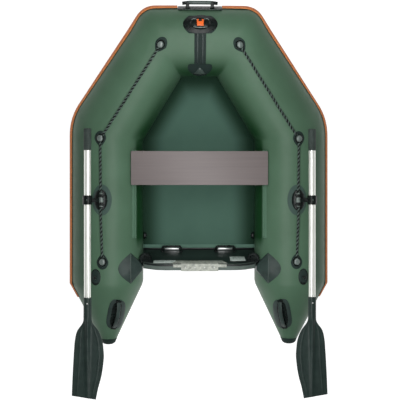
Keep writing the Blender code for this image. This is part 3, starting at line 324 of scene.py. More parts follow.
STRAKE_LOOK = (0.5, 0.002, 0.00025, 0.25)  # roughness, the grain's spacing and depth, specular level
POLISH = (0.004, 0.0001)  # the spacing and depth of the ripple left in a polished moulding
FINISHES = {
    # calendered PVC on cloth: satin on the tubes and rails, dull on the floor that feet have rubbed; the
    # tubes and the floor darken to a painted shade where they lie in shadow inside the cockpit
    "hull_pvc": coated_cloth("pvc_coated_cloth_green", "#46624D", "#4F6C57", painted_shade_tone="#113819"),
    "rail_pvc": coated_cloth("pvc_rail_green", "#4C6B57", "#557560", 0.002, 0.35, level=0.3),
    "floor_pvc": coated_cloth(
        "pvc_floor_cloth_green", "#4E6D60", "#547466", rough=0.7, painted_shade_tone="#213A2C", level=0.05
    ),
    "floor_tape": coated_cloth("pvc_tape_green", "#5A7B6D", "#648676", 0.002, 0.6, level=0.1),
    # extruded PVC strakes: matt orange with a paler bead; the dark strip along the foot, where the strake
    # meets the tube, is painted shade that edges it like a drawn line
    "rub_strake_rubber": moulded_plastic("extruded_pvc_orange", "#BF6630", "#CE743B", *STRAKE_LOOK),
    "strake_bead": moulded_plastic("extruded_pvc_pale_orange", "#CC7A42", "#D8864C", *STRAKE_LOOK),
    "strake_foot_shade": moulded_plastic("painted_shade_strake_foot", "#16281C", "#203226", 0.6, 0.002),
    # glass-filled nylon: near-black with small sharp highlights, greyer and softer where it is thicker
    "black_nylon": moulded_plastic("glass_filled_nylon_black", "#0A100F", "#141C1A", 0.27, level=0.22),
    "grey_nylon": moulded_plastic("glass_filled_nylon_grey", "#3B4743", "#4A5752", 0.38, level=0.4),
    "polished_nylon": moulded_plastic("polished_nylon_pale_grey", "#56625E", "#6A7671", 0.18, *POLISH, 0.7),
    "rail_nylon": moulded_plastic("polished_nylon_charcoal", "#2A3634", "#35423F", 0.16, *POLISH, 0.9),
    "bracket_nylon": moulded_plastic("glass_filled_nylon_slate", "#26322F", "#31403C", 0.45, level=0.25),
    # glued patches of the same coated cloth: flat and duller than the fittings they carry
    "glued_patch": coated_cloth("pvc_patch_charcoal", "#232F2C", "#2D3A37", 0.002, 0.6, level=0.08),
    "oarlock_patch": coated_cloth("pvc_patch_grey_green", "#3A4D47", "#43564F", 0.002, 0.5, level=0.1),
    # acetal: a clean, bright orange with a soft gloss
    "latch_nylon": moulded_plastic("acetal_orange", "#E65E22", "#F47430", 0.28),
    # woven and laid polyester and polypropylene: matt blacks broken up by their ribs and strands
    "black_webbing": webbing("polyester_webbing_charcoal", "#1A2624", "#24312E"),
    # the rope's near-black grooves are painted shade and its paler crests painted highlight
    "braided_rope": laid_rope("polypropylene_rope_black", "#030605", "#55645E"),
    # the oars: pale drawn tube, dark foam that swallows light, and a blade with a low moulded sheen
    "oar_aluminium": anodised_aluminium("anodised_aluminium"),
    "grip_foam": moulded_plastic("eva_foam_grey", "#2D3633", "#3E4945", 0.7, 0.0025, 0.0006, 0.3),
    "blade_plastic": moulded_plastic("polypropylene_blade", "#1C2A27", "#283733", 0.42, 0.0015, level=0.25),
    "button_steel": stainless_steel("stainless_steel"),
    # faced plywood: a warm grey bench, and a transom so dark that only its edges show
    "seat_plywood": faced_plywood("phenol_faced_birch_ply", "#6A6261", "#716867", 0.42),
    "transom_plywood": faced_plywood("phenol_faced_birch_ply_black", "#0E1414", "#1B2222", 0.36),
    # the transom's trim, pads and blank plates: greys that stand out against the black board
    "trim_vinyl": moulded_plastic("extruded_vinyl_grey", "#4F5B56", "#5D6963", 0.45, 0.002, level=0.3),
    "motor_pad_plastic": scuffed_plastic("scuffed_polypropylene"),
    "label_film": moulded_plastic("blank_label_film", "#BFCBC6", "#D2DCD6", 0.3, *POLISH),
}


def held(value):
    """A value held between 0 and 1."""
    return min(max(value, 0), 1)


def smooth_step(low, high, value):
    share = held((value - low) / (high - low))
    return share * share * (3 - 2 * share)


def mark(made, attribute, value_at):
    """Stores a share from 0 to 1 at each point, for the finish to read."""
    values = [value_at(vert) for vert in made.data.vertices]
    made.data.attributes.new(attribute, "FLOAT", "POINT").data.foreach_set("value", values)


def soften(made, attribute, rounds):
    """Blurs a stored share along the edges forward of the seat, where the tone changes slowly."""
    layer = made.data.attributes[attribute].data
    values = [item.value for item in layer]
    near = [[] for _ in values]
    for edge in made.data.edges:
        first, second = edge.vertices
        near[first].append(second)
        near[second].append(first)
    front = [i for i, vert in enumerate(made.data.vertices) if vert.co.y > KNEE.y]
    for _ in range(rounds):
        mean = {i: (values[i] + sum(values[j] for j in near[i])) / (1 + len(near[i])) for i in front}
        for i, value in mean.items():
            values[i] = value
    layer.foreach_set("value", values)


# ---- making pieces -----------------------------------------------------------------------------
def piece(name, bm, finish, body="hull", stands_for=(), crease=40, normals=True):
    """Links a finished shape as a piece that rides on a body."""
    bmesh.ops.remove_doubles(bm, verts=bm.verts, dist=0.00001)
    if normals:
        bmesh.ops.recalc_face_normals(bm, faces=bm.faces)
    mesh = bpy.data.meshes.new(name)
    bm.to_mesh(mesh)
    bm.free()
    mesh.shade_smooth()
    mesh.set_sharp_from_angle(angle=math.radians(crease))
    mesh.materials.append(FINISHES[finish])
    made = bpy.data.objects.new(name, mesh)
    bpy.context.scene.collection.objects.link(made)
    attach(made, body)
    if stands_for:
        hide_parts(*stands_for)
    return made


def round_edges(bm, width, angle=35, segments=2):
    sharp = [e for e in bm.edges if e.is_manifold and e.calc_face_angle(0) > math.radians(angle)]
    bmesh.ops.bevel(
        bm,
        geom=sharp,
        offset=width,
        offset_type="OFFSET",
        affect="EDGES",
        segments=segments,
        profile=0.5,
        material=-1,
        clamp_overlap=True,
    )


def from_cad(node):
    """A merged copy of a CAD node's shape."""
    bm = bmesh.new()
    bm.from_mesh(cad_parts[node].data)
    bmesh.ops.remove_doubles(bm, verts=bm.verts, dist=0.00002)
    bmesh.ops.dissolve_limit(bm, angle_limit=math.radians(1.0), verts=bm.verts, edges=bm.edges)
    return bm


def moulded(node, finish, body="hull", width=0.001, angle=35, segments=2):
    """A CAD part with its edges rounded as the mould leaves them."""
    bm = from_cad(node)
    round_edges(bm, width, angle, segments)
    return piece(f"{node}_moulded", bm, finish, body, (node,))


def new_loop(grown):
    """The far loop of edges that an edge extrusion made."""
    fresh = {v for v in grown if isinstance(v, bmesh.types.BMVert)}
    return [e for e in grown if isinstance(e, bmesh.types.BMEdge) and set(e.verts) <= fresh]


def swept(section, frames, capped=True):
    """A closed section, drawn in XY, carried through a run of frames."""
    bm = bmesh.new()
    verts = [bm.verts.new((x, y, 0)) for x, y in section]
    first = [bm.edges.new(pair) for pair in zip(verts, verts[1:] + verts[:1])]
    bmesh.ops.transform(bm, matrix=frames[0], verts=verts)
    loop = first
    for before, after in zip(frames, frames[1:]):
        loop = new_loop(bmesh.ops.extrude_edge_only(bm, edges=loop)["geom"])
        verts = list({v for e in loop for v in e.verts})
        bmesh.ops.transform(bm, matrix=after @ before.inverted(), verts=verts)
    if capped:
        bmesh.ops.edgeloop_fill(bm, edges=first)
        bmesh.ops.edgeloop_fill(bm, edges=loop)
    return bm


def turned(profile, segments=32):
    """A turned shape about Z from (radius, height) pairs."""
    bm = bmesh.new()
    verts = [bm.verts.new((radius, 0, height)) for radius, height in profile]
    edges = [bm.edges.new(pair) for pair in zip(verts, verts[1:])]
    whole_turn = {"angle": math.tau, "steps": segments, "use_merge": True}
    bmesh.ops.spin(bm, geom=verts + edges, cent=(0, 0, 0), axis=(0, 0, 1), **whole_turn)
    bmesh.ops.remove_doubles(bm, verts=bm.verts, dist=0.00001)
    return bm


def block(size, bevel, segments=2):
    """A box about the origin with rounded edges."""
    bm = bmesh.new()
    bmesh.ops.create_cube(bm, size=1, matrix=Matrix.Diagonal((*size, 1)))
    round_edges(bm, bevel, 35, segments)
    return bm


def raised(bm, face, height):
    """Gives a flat face a thickness; returns the raised corners."""
    grown = bmesh.ops.extrude_face_region(bm, geom=[face])["geom"]
    lifted = [v for v in grown if isinstance(v, bmesh.types.BMVert)]
    bmesh.ops.translate(bm, vec=(0, 0, height), verts=lifted)
    return lifted


def placed(bm, matrix):
    bmesh.ops.transform(bm, matrix=matrix, verts=bm.verts)
    return bm


def merged(*shapes):
    """Several shapes as one."""
    whole = bmesh.new()
    for shape in shapes:
        mesh = bpy.data.meshes.new("part")
        shape.to_mesh(mesh)
        shape.free()
        whole.from_mesh(mesh)
        bpy.data.meshes.remove(mesh)
    return whole


def onward(path, i):
    """The way that a path runs at one of its points."""
    return path[min(i + 1, len(path) - 1)] - path[max(i - 1, 0)]


def axes(origin, z_axis, x_hint=(1, 0, 0)):
    """A frame at a place with its Z along an axis."""
    z = Vector(z_axis).normalized()
    y = z.cross(Vector(x_hint)).normalized()
    return Matrix.Translation(origin) @ Matrix((y.cross(z), y, z)).transposed().to_4x4()


def circle(count, radius=1.0):
    angles = [math.tau * i / count for i in range(count)]
    return [(radius * math.cos(angle), radius * math.sin(angle)) for angle in angles]


def eased(table, where):
    """A smooth curve through a table of (place, values...), at one place."""
    rows = sorted(table)
    where = min(max(where, rows[0][0]), rows[-1][0])
    i = max(min(sum(row[0] <= where for row in rows) - 1, len(rows) - 2), 0)
    span = rows[i + 1][0] - rows[i][0]
    share = (where - rows[i][0]) / span

    def slope(k, column):
        low, high = rows[max(k - 1, 0)], rows[min(k + 1, len(rows) - 1)]
        return (high[column] - low[column]) / (high[0] - low[0]) * span

    values = []
    for column in range(1, len(rows[0])):
        start, end = rows[i][column], rows[i + 1][column]
        values.append(
            start * (1 + 2 * share) * (1 - share) ** 2
            + slope(i, column) * share * (1 - share) ** 2
            + end * share**2 * (3 - 2 * share)
            + slope(i + 1, column) * share**2 * (share - 1)
        )
    return values


# ---- hull: rings along the tubes ---------------------------------------------------------------
def ring_axes(along, mitre):
    """The outward and upward axes of a tube's ring, slid along the tube to a mitre plane."""
    outward = Vector((along.y, -along.x, 0)).normalized()
    upward = outward.cross(along)
    return [axis - along * (axis.dot(mitre) / along.dot(mitre)) for axis in (outward, upward)]


def ring_frame(place, along, radius, outward, upward):
    """Turns a unit circle into a ring of the tube."""
    turn = Matrix((outward * radius, upward * radius, along)).transposed().to_4x4()
    return Matrix.Translation(place) @ turn


def straight(start, end, start_r, end_r, count):
    along = (end - start).normalized()
    outward, upward = ring_axes(along, along)
    made = []
    for i in range(count):
        share = i / (count - 1)
        radius = start_r + (end_r - start_r) * share
        made.append(ring_frame(start.lerp(end, share), along, radius, outward, upward))
    return made


def rounded_corner(place, before, after, radius, reach, outer, count=10):
    """Rings that round a mitred corner; reach is the run used up, outer the extra on the outside."""
    mitre = (before + after).normalized()
    pairs = zip(ring_axes(before, mitre), ring_axes(after, mitre))
    outward, upward = ((a + b) / 2 for a, b in pairs)
    made = []
    for i in range(count + 1):
        share = i / count
        pull = after * share**2 - before * (1 - share) ** 2
        along = before.lerp(after, share).normalized()
        outer_pull = outward + pull * outer / radius
        made.append(ring_frame(place + pull * reach, along, radius, outer_pull, upward))
    return made


KNEE_REACH, KNEE_OUTER = 0.050, 0.040
CORNER_REACH, CORNER_OUTER = 0.036, 0.032
CONE_STATIONS = (0.3468, 0.3462, 0.3445, 0.3415, 0.337, 0.331, 0.324, 0.28, 0.21, 0.14, 0.07, 0.03, 0.012)


def cone_radius(run):
    """The stern cone's radius a run aft of its start, with its tip rounded over the last 22 mm."""
    tip = 0.022
    straight_run = CONE_LENGTH - tip
    if run <= straight_run:
        return SIDE_R - CONE_TAPER * max(run, 0)
    end = SIDE_R - CONE_TAPER * straight_run
    return end * math.sqrt(max(1 - ((run - straight_run) / (tip + 0.0005)) ** 2, 0))


def cone_rings(runs):
    outward, upward = ring_axes(FORWARD, FORWARD)
    made = []
    for run in runs:
        place = AFT_END - FORWARD * run
        place.x += (CONE_TIP_X - KNEE.x) * run / CONE_LENGTH
        made.append(ring_frame(place, FORWARD, cone_radius(run), outward, upward))
    return made


def hull_rings():
    """The starboard half's rings, from the cone's tip to the middle of the bow."""
    rings = cone_rings(CONE_STATIONS)
    rings += straight(AFT_END + FORWARD * 0.012, KNEE - FORWARD * KNEE_REACH * 1.2, SIDE_R, SIDE_R, 14)
    rings += rounded_corner(KNEE, FORWARD, ALONG_QUARTER, SIDE_R, KNEE_REACH, KNEE_OUTER)
    start = KNEE + ALONG_QUARTER * KNEE_REACH * 1.2
    end = CORNER - ALONG_QUARTER * CORNER_REACH * 1.2
    rings += straight(start, end, SIDE_R - 0.0012, BOW_R + 0.001, 8)
    rings += rounded_corner(CORNER, ALONG_QUARTER, ALONG_BOW, BOW_R, CORNER_REACH, CORNER_OUTER)
    middle = Vector((0, CORNER.y, CORNER.z))
    return rings + straight(CORNER + ALONG_BOW * CORNER_REACH * 1.2, middle, BOW_R, BOW_R, 4)


def mirrored_whole(bm):
    """Adds the port half to a starboard half that ends on the middle plane."""
    geom = bm.verts[:] + bm.edges[:] + bm.faces[:]
    bmesh.ops.mirror(bm, geom=geom, matrix=Matrix(), merge_dist=0.0005, axis="X")
    return bm


RINGS = hull_rings()
HULL_FACETS = 96
HULL_NODES = ["bow_tube"] + [f"{w}_{n}" for w in SIDES for n in ("bow_quarter", "side_tube", "stern_cone")]


RAIL_FRONT, RAIL_BACK = 0.272, -0.207
FOLD_ANGLE = math.radians(8)
FOLD_MARGIN, FOLD_ROUNDS = 5, 16  # rings beside a fold that are eased with it, and the times they are


def flank_painted_shade(vert):
    """How much painted shade a point on the tubes takes: more the further it faces into the cockpit,
    fading out behind the transom.

    The seat rails shade the flank below them, so the painted shade sets in sharply there.
    """
    inward = (Vector((0, 0.15)) - vert.co.to_2d()).normalized()
    facing = vert.normal.to_2d().dot(inward)
    station = vert.co.y - DATUM_Y
    abaft, ahead = smooth_step(RAIL_BACK - 0.06, RAIL_BACK, station), RAIL_FRONT + 0.1 - station
    beside_rail = abaft * smooth_step(0, 0.1, ahead)
    across = abs(vert.normal.x)
    soft, sharp = smooth_step(0.66, 0.95, facing), smooth_step(0.80, 0.87, across) * (facing > 0)
    return (soft + (sharp - soft) * beside_rail) * smooth_step(-0.46, -0.36, vert.co.y)


def ease_folds(bm):
    """Rounds the folds on the inside of the corners, as the air in the tubes does."""
    folds = set()
    for edge in bm.edges:
        folded = edge.is_manifold and edge.calc_face_angle(0) > FOLD_ANGLE
        if folded and edge.verts[0].co.y > KNEE.y - 0.2:
            folds.update(edge.verts)
    for _ in range(FOLD_MARGIN):
        folds |= {edge.other_vert(vert) for vert in folds for edge in vert.link_edges}
    every_way = {f"use_axis_{axis}": True for axis in "xyz"}
    for _ in range(FOLD_ROUNDS):
        bmesh.ops.smooth_vert(bm, verts=list(folds), factor=0.5, **every_way)


def hull_skin():
    bm = swept(circle(HULL_FACETS), RINGS, capped=False)
    tip = [e for e in bm.edges if e.is_boundary and e.verts[0].co.y < 0]
    bmesh.ops.edgeloop_fill(bm, edges=tip)
    bmesh.ops.remove_doubles(bm, verts=bm.verts, dist=0.0001)
    mirrored_whole(bm)
    ease_folds(bm)
    bmesh.ops.recalc_face_normals(bm, faces=bm.faces)
    tree = BVHTree.FromBMesh(bm)
    skin = piece("hull_skin", bm, "hull_pvc", "hull", HULL_NODES, crease=60)
    # painted shade on the flanks that face into the cockpit, blurred forward of the seat
    mark(skin, "painted_shade", flank_painted_shade)
    soften(skin, "painted_shade", 12)
    return tree


HULL = hull_skin()


def on_skin(x, y):
    """The point on top of the hull at a place seen from above, and the outward normal there."""
    place = HULL.ray_cast(Vector((x, y, 2)), Vector((0, 0, -1)))[0]
    near = 0.006
    normal = Vector()
    for dx, dy in ((near, 0), (-near, 0), (0, near), (0, -near)):
        hit = HULL.ray_cast(Vector((x + dx, y + dy, 2)), Vector((0, 0, -1)))
        if hit[1] is not None:
            normal += hit[1]
    return place, normal.normalized()


def draped(bm):
    """Lays a shape drawn in plan, with its heights off the skin as Z, on the hull."""
    for vert in bm.verts:
        place, normal = on_skin(vert.co.x, vert.co.y)
        vert.co = place + normal * vert.co.z
    return bm


def skin_axes(x, y, heading=0.0):
    """A frame on the skin, Z outwards, its Y turned from the bow by a heading."""
    place, normal = on_skin(x, y)
    ahead = Vector((-math.sin(heading), math.cos(heading), 0))
    return axes(place, normal, ahead.cross(normal))


def plan_patch(centre, outline, profile):
    """A draped patch: outline about the centre, then (share, height) steps inwards to a flat top."""
    bm = bmesh.new()
    verts = [bm.verts.new((x, y, 0)) for x, y in outline]
    loop = [bm.edges.new(pair) for pair in zip(verts, verts[1:] + verts[:1])]
    bmesh.ops.edgeloop_fill(bm, edges=loop)
    share, height = 1.0, 0.0
    rim, top = profile[-1]
    inner = [(rim * step, top) for step in (0.86, 0.72, 0.56, 0.40, 0.22, 0.06)]
    for next_share, next_height in (*profile, *inner):
        loop = new_loop(bmesh.ops.extrude_edge_only(bm, edges=loop)["geom"])
        verts = list({v for e in loop for v in e.verts})
        factor = next_share / share
        bmesh.ops.scale(bm, vec=(factor, factor, 1), verts=verts)
        bmesh.ops.translate(bm, vec=(0, 0, next_height - height), verts=verts)
        share, height = next_share, next_height
    bmesh.ops.edgeloop_fill(bm, edges=loop)
    bmesh.ops.translate(bm, vec=(centre[0], centre[1], 0.0006), verts=bm.verts)
    return draped(bm)


def oval(half_x, half_y, turn=0.0, count=40, nose=0.0, square=1.0):
    """An oval about the origin; nose narrows its +Y end, and square below 1 fills its corners out."""
    outline = []
    for i in range(count):
        angle = math.tau * i / count
        x = half_x * math.copysign(abs(math.cos(angle)) ** square, math.cos(angle))
        y = half_y * math.copysign(abs(math.sin(angle)) ** square, math.sin(angle))
        if y > 0:
            x *= 1 - nose * y / half_y
        outline.append((x * math.cos(turn) - y * math.sin(turn), x * math.sin(turn) + y * math.cos(turn)))
    return outline


# ---- rubbing strakes ---------------------------------------------------------------------------
STRAKE_GAP_X = 0.120
STRAKE_RISE = {"side": math.radians(13.5), "bow": math.radians(21.5)}
STRAKE_SECTIONS = {  # finish: (degrees round the tube from the strake's middle, height in mm)
    "rub_strake_rubber": (
        (-9.5, 0.4), (-9.2, 3.0), (-7.6, 7.0), (-4.8, 8.7), (0.0, 9.0), (4.4, 8.7), (5.4, 7.4), (5.7, 0.4),
    ),
    "strake_bead": ((5.8, 0.4), (6.0, 6.2), (6.8, 7.8), (8.0, 7.0), (9.0, 4.4), (9.3, 0.4)),
    # the dark foot strip is painted shade along the line where the strake meets the tube
    "strake_foot_shade": ((9.4, 0.4), (9.4, 2.4), (10.6, 2.2), (11.2, 0.4)),
}


def strake_frames():
    """Rings from beside the bow handle to the cone, turned so that their X meets the strake."""
    middle = Vector((STRAKE_GAP_X, CORNER.y, CORNER.z))
    corner = rounded_corner(CORNER, ALONG_QUARTER, ALONG_BOW, BOW_R, CORNER_REACH, CORNER_OUTER)[::-1]
    start = CORNER - ALONG_QUARTER * CORNER_REACH * 1.2
    end = KNEE + ALONG_QUARTER * KNEE_REACH * 1.2
    quarter = straight(end, start, SIDE_R - 0.0012, BOW_R + 0.001, 12)[::-1]
    knee = rounded_corner(KNEE, FORWARD, ALONG_QUARTER, SIDE_R, KNEE_REACH, KNEE_OUTER)[::-1]
    side = straight(AFT_END + FORWARD * 0.012, KNEE - FORWARD * KNEE_REACH * 1.2, SIDE_R, SIDE_R, 14)[::-1]
    cone = cone_rings((0.0, 0.02, 0.04, 0.076))
    bow = straight(CORNER + ALONG_BOW * CORNER_REACH * 1.2, middle, BOW_R, BOW_R, 3)[::-1]
    rings = bow + corner + quarter + knee + side + cone
    turned_rings = []
    for ring in rings:
        rise = STRAKE_RISE["side"]
        share = held((ring.translation.y - KNEE.y) / (CORNER.y - KNEE.y))
        rise += (STRAKE_RISE["bow"] - rise) * share
        out, up = ring.col[0].to_3d(), ring.col[1].to_3d()
        radius = out.length
        reach = math.hypot(out.z, up.z)
        angle = math.asin(radius * math.sin(rise) / reach) - math.atan2(out.z, up.z)
        turned_rings.append(ring @ Matrix.Rotation(angle, 4, "Z"))
    return turned_rings


def rub_strakes():
    frames = strake_frames()
    for finish, profile in STRAKE_SECTIONS.items():
        section = []
        for degrees, height in profile:
            reach, angle = 1 + height / 1000 / SIDE_R, math.radians(degrees)
            section.append((reach * math.cos(angle), reach * math.sin(angle)))
        for word, side in SIDES.items():
            bm = swept(section, frames)
            if side < 0:
                bmesh.ops.scale(bm, vec=(-1, 1, 1), verts=bm.verts)
            stands_for = (f"{word}_rub_strake",) if finish == "rub_strake_rubber" else ()
            piece(f"{word}_{finish}", bm, finish, "hull", stands_for, crease=50)


# ---- floor -------------------------------------------------------------------------------------
FLOOR_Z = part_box("floor_sheet")[0].z
FLOOR_AFT, FLOOR_FORE = -0.2835, 0.76
FLOOR_INSET = 0.125
FLOOR_TUCK = 0.026  # the glued margin that goes in under the tubes
FLOOR_GRID = (40, 60)
FLOOR_TAPE = (-0.2825, -0.258)  # its aft and fore edges


def floor_half_and_rise(station):
    """The floor's half-width and height at a station: it narrows and rises between the quarters."""
    along = ALONG_QUARTER.to_2d().normalized()
    climb = (CORNER.z - KNEE.z) / (CORNER - KNEE).to_2d().length
    edge = KNEE.to_2d() + Vector((-along.y, along.x)) * FLOOR_INSET
    run = max((station + DATUM_Y - edge.y) / along.y, 0)
    half = min(edge.x + along.x * run, KNEE.x - FLOOR_INSET) - 0.004
    return half, climb * run


def floor_painted_shade(vert):
    """How much painted shade a point of the floor takes, from how near it lies to the tubes that overhang
    it.
    """
    station = vert.co.y - DATUM_Y
    half = floor_half_and_rise(station)[0]
    edge = min(half - abs(vert.co.x), FLOOR_FORE - station)
    return 1 - smooth_step(0.070, 0.20, edge)


def floor_cloth():
    bm = bmesh.new()
    bmesh.ops.create_grid(bm, x_segments=FLOOR_GRID[0], y_segments=FLOOR_GRID[1], size=1)
    for vert in bm.verts:
        across, share = vert.co.x, (vert.co.y + 1) / 2
        station = FLOOR_AFT + (FLOOR_FORE - FLOOR_AFT) * share
        half, rise = floor_half_and_rise(station)
        ripple = 0.0012 * math.sin(19 * station + 3 * across) * math.sin(7 * across + 2 * station)
        tuck = 0.0018 * math.sin(90 * station) * max(abs(across) - 0.86, 0) / 0.14
        wide = half + FLOOR_TUCK
        vert.co = Vector((wide * across, station + DATUM_Y, FLOOR_Z + 0.002 + rise + ripple + tuck))
    top = bm.faces[:]
    bmesh.ops.recalc_face_normals(bm, faces=top)
    bmesh.ops.solidify(bm, geom=top, thickness=0.0012)
    cloth = piece("floor_cloth", bm, "floor_pvc", "hull", ("floor_sheet",), crease=60)
    # painted shade: the floor darkens towards its edges under the overhanging tubes
    mark(cloth, "painted_shade", floor_painted_shade)

    half = floor_half_and_rise(FLOOR_TAPE[1])[0] - 0.002
    low, high = FLOOR_TAPE
    tape = block((2 * half, high - low, 0.0016), 0.0005)
    placed(tape, Matrix.Translation((0, (low + high) / 2 + DATUM_Y, FLOOR_Z + 0.0048)))
    piece("floor_aft_tape", tape, "floor_tape")


# ---- lifelines and their holders -----------------------------------------------------------------
def rope_path(side, spacing):
    """The lifeline's centre, laid on the skin at an even spacing."""
    flat = []
    for (x0, y0), (x1, y1) in zip(ROPE_CORNERS, ROPE_CORNERS[1:]):
        count = max(round(math.hypot(x1 - x0, y1 - y0) / spacing), 2)
        flat += [(x0 + (x1 - x0) * i / count, y0 + (y1 - y0) * i / count) for i in range(count)]
    flat.append(ROPE_CORNERS[-1])
    points = []
    for x, station in flat:
        place, normal = on_skin(side * x, station + DATUM_Y)
        points.append(place + normal * (ROPE_R + 0.0006))
    return points


ROPE_CREST = 0.0072  # the strands' crests stand proud of the rope's nominal radius
ROPE_GROOVE = 0.66  # the radius left in the grooves, as a share of the crests'
ROPE_PITCH = 0.044  # a longer lay and fewer strands than such a rope has, so that they show


def rope_shape(path, radius, pitch, strands=2, facets=18):
    """Laid rope: strands that twist once in each pitch."""
    section = []
    for i in range(facets):
        angle = math.tau * i / facets
        lobe = radius * (ROPE_GROOVE + (1 - ROPE_GROOVE) * abs(math.cos(strands * angle / 2)))
        section.append((lobe * math.cos(angle), lobe * math.sin(angle)))
    frames, run = [], 0.0
    for i, place in enumerate(path):
        if i:
            run += (place - path[i - 1]).length
        twist = Matrix.Rotation(math.tau * run / pitch, 4, "Z")
        frames.append(axes(place, onward(path, i), (0, 0, 1)) @ twist)
    return swept(section, frames)


def lifelines():
    for word, side in SIDES.items():
        path = rope_path(side, 0.0025)
        shape = rope_shape(path, ROPE_CREST, ROPE_PITCH)
        rope = piece(f"{word}_lifeline_rope", shape, "braided_rope", "hull", (f"{word}_lifeline",), 80)
        middle_line = KDTree(len(path))
        for i, place in enumerate(path):
            middle_line.insert(place, i)
        middle_line.balance()
        # the share of painted highlight rises towards the strands' crests; the grooves keep the painted
        # shade
        low = ROPE_CREST * (ROPE_GROOVE + 0.55 * (1 - ROPE_GROOVE))
        high = ROPE_CREST * (ROPE_GROOVE + 0.90 * (1 - ROPE_GROOVE))
        mark(rope, "painted_crest_light", lambda vert: smooth_step(low, high, middle_line.find(vert.co)[2]))


def rope_heading(side, key):
    """The heading that the rope leaves a holder on."""
    front, middle = HOLDERS["front"], HOLDERS["middle"]
    if key == "front":
        return side * math.atan2(middle[0] - front[0], front[1] - middle[1]) + math.pi
    return math.pi if key == "middle" else 0.0


HOLDER_FLANGE = ((1.0, 0.0012), (0.97, 0.0020), (0.75, 0.0026), (0.66, 0.0026))  # share, height
HOLDER_RING = (  # radius, height off the skin
    (0.0150, 0.0024), (0.0222, 0.0024), (0.0228, 0.0050), (0.0218, 0.0100), (0.0200, 0.0130),
    (0.0182, 0.0138), (0.0168, 0.0128), (0.0160, 0.0090), (0.0150, 0.0024),
)
HOLDER_CAP = (
    (0, 0.0030), (0.0140, 0.0030), (0.0156, 0.0120), (0.0160, 0.0145), (0.0150, 0.0172), (0.0118, 0.0196),
    (0.0064, 0.0209), (0, 0.0212),
)


def rope_holders():
    for word, side in SIDES.items():
        for key, (x, station) in HOLDERS.items():
            centre = (side * x, station + DATUM_Y)
            heading = rope_heading(side, key)
            outline = oval(0.031, 0.041, heading, nose=0.35)
            flange = plan_patch(centre, outline, HOLDER_FLANGE)
            piece(f"{word}_{key}_holder_flange", flange, "glued_patch")
            base = skin_axes(*centre, heading)
            teardrop = Matrix.Diagonal((1, 1.12, 1, 1))
            ring = placed(turned(HOLDER_RING, 36), base @ teardrop)
            node = f"{word}_{key}_rope_holder"
            piece(f"{word}_{key}_holder_ring", ring, "black_nylon", "hull", (node,))
            cap = turned(HOLDER_CAP, 32)
            piece(f"{word}_{key}_holder_cap", placed(cap, base @ teardrop), "polished_nylon")


# ---- bow ----------------------------------------------------------------------------------------
def bow_point(x, angle, lift=0.0):
    """A place on the bow tube; the angle is from straight ahead, over the crown."""
    reach = BOW_R + lift
    return Vector((x, CORNER.y + reach * math.cos(angle), CORNER.z + reach * math.sin(angle)))


def wrapped(bm):
    """Wraps a shape drawn flat, with Y as the run over the bow tube from straight ahead, round it."""
    for vert in bm.verts:
        vert.co = bow_point(vert.co.x, vert.co.y / BOW_R, vert.co.z)
    return bm


def bow_axes(angle):
    """A frame on the bow tube: X along it, Z outwards."""
    return axes(bow_point(0, angle), (0, math.cos(angle), math.sin(angle)), (1, 0, 0))


BAR_HINT = (0.13, 0.21, 0.97)  # no bar runs along this
HEAD_STEPS = ((0.95, 0.35), (0.60, 0.75))  # a bar's round head: run past its end, thickness, in radii


def tube_bar(points, radius, facets=16):
    """A round bar along the points, with rounded heads."""
    path = [Vector(p) for p in points]
    frames = [axes(place, onward(path, i), BAR_HINT) for i, place in enumerate(path)]
    heads = []
    for frame_at, out in ((frames[0], path[0] - path[1]), (frames[-1], path[-1] - path[-2])):
        steps = []
        for past, size in HEAD_STEPS:
            moved = Matrix.Translation(out.normalized() * past * radius) @ frame_at
            steps.append(moved @ Matrix.Diagonal((size, size, 1, 1)))
        heads.append(steps)
    return swept(circle(facets, radius), heads[0] + frames + heads[1][::-1])


HANDLE_LIFT = math.radians(30)
HANDLE_BAR_R = 0.0095
HANDLE_BAR_HEIGHT = 0.0404 - HANDLE_BAR_R
HANDLE_POST_X = 0.066
HANDLE_SLEEVE_RUN = (-0.056, -0.03, 0, 0.03, 0.056)
HANDLE_LUGS = ((0.0045, 0.0135), (0.0085, 0.0115), (0.0255, 0.0125))  # height, half-width
HANDLE_RIMS = ((20.6, 22.6), (37.2, 39.2))  # degrees round the bow tube


def bow_handle():
    """A gripped bar on two waisted posts, over a foot glued to the bow's front."""
    moulded("bow_handle", "black_nylon", width=0.0016)
    bar = bow_axes(HANDLE_LIFT)
    run = [bar @ Vector((x, 0, HANDLE_BAR_HEIGHT)) for x in HANDLE_SLEEVE_RUN]
    piece("bow_handle_sleeve", tube_bar(run, HANDLE_BAR_R + 0.0006, 20), "grey_nylon")
    posts = []
    for side in SIDES.values():
        for height, half in HANDLE_LUGS:
            lug = block((2 * half, 0.024, 0.0045), 0.0015)
            posts.append(placed(lug, bar @ Matrix.Translation((side * HANDLE_POST_X, 0, height))))
    piece("bow_handle_lugs", merged(*posts), "black_nylon")
    rim = []
    for start, end in HANDLE_RIMS:
        low, high = math.radians(start), math.radians(end)
        strip = block((0.232, (high - low) * BOW_R, 0.0016), 0.0006)
        bmesh.ops.subdivide_edges(strip, edges=strip.edges[:], cuts=1, use_grid_fill=True)
        placed(strip, Matrix.Translation((0, (low + high) / 2 * BOW_R, 0.0050)))
        rim.append(wrapped(strip))
    piece("bow_handle_foot_rims", merged(*rim), "polished_nylon")


FITTING_STATION = 0.9195
FITTING_PATCH_HALF = (0.0895, 0.0500)
# pale arcs that are painted reflections on the fitting's glossy rim
FITTING_GLINT_ARCS = (  # middle across and forward, half-length, how far the middle bows forward
    (-0.032, 0.019, 0.012, 0.005), (0.032, 0.019, 0.012, 0.005), (0, -0.0245, 0.036, -0.004),
)


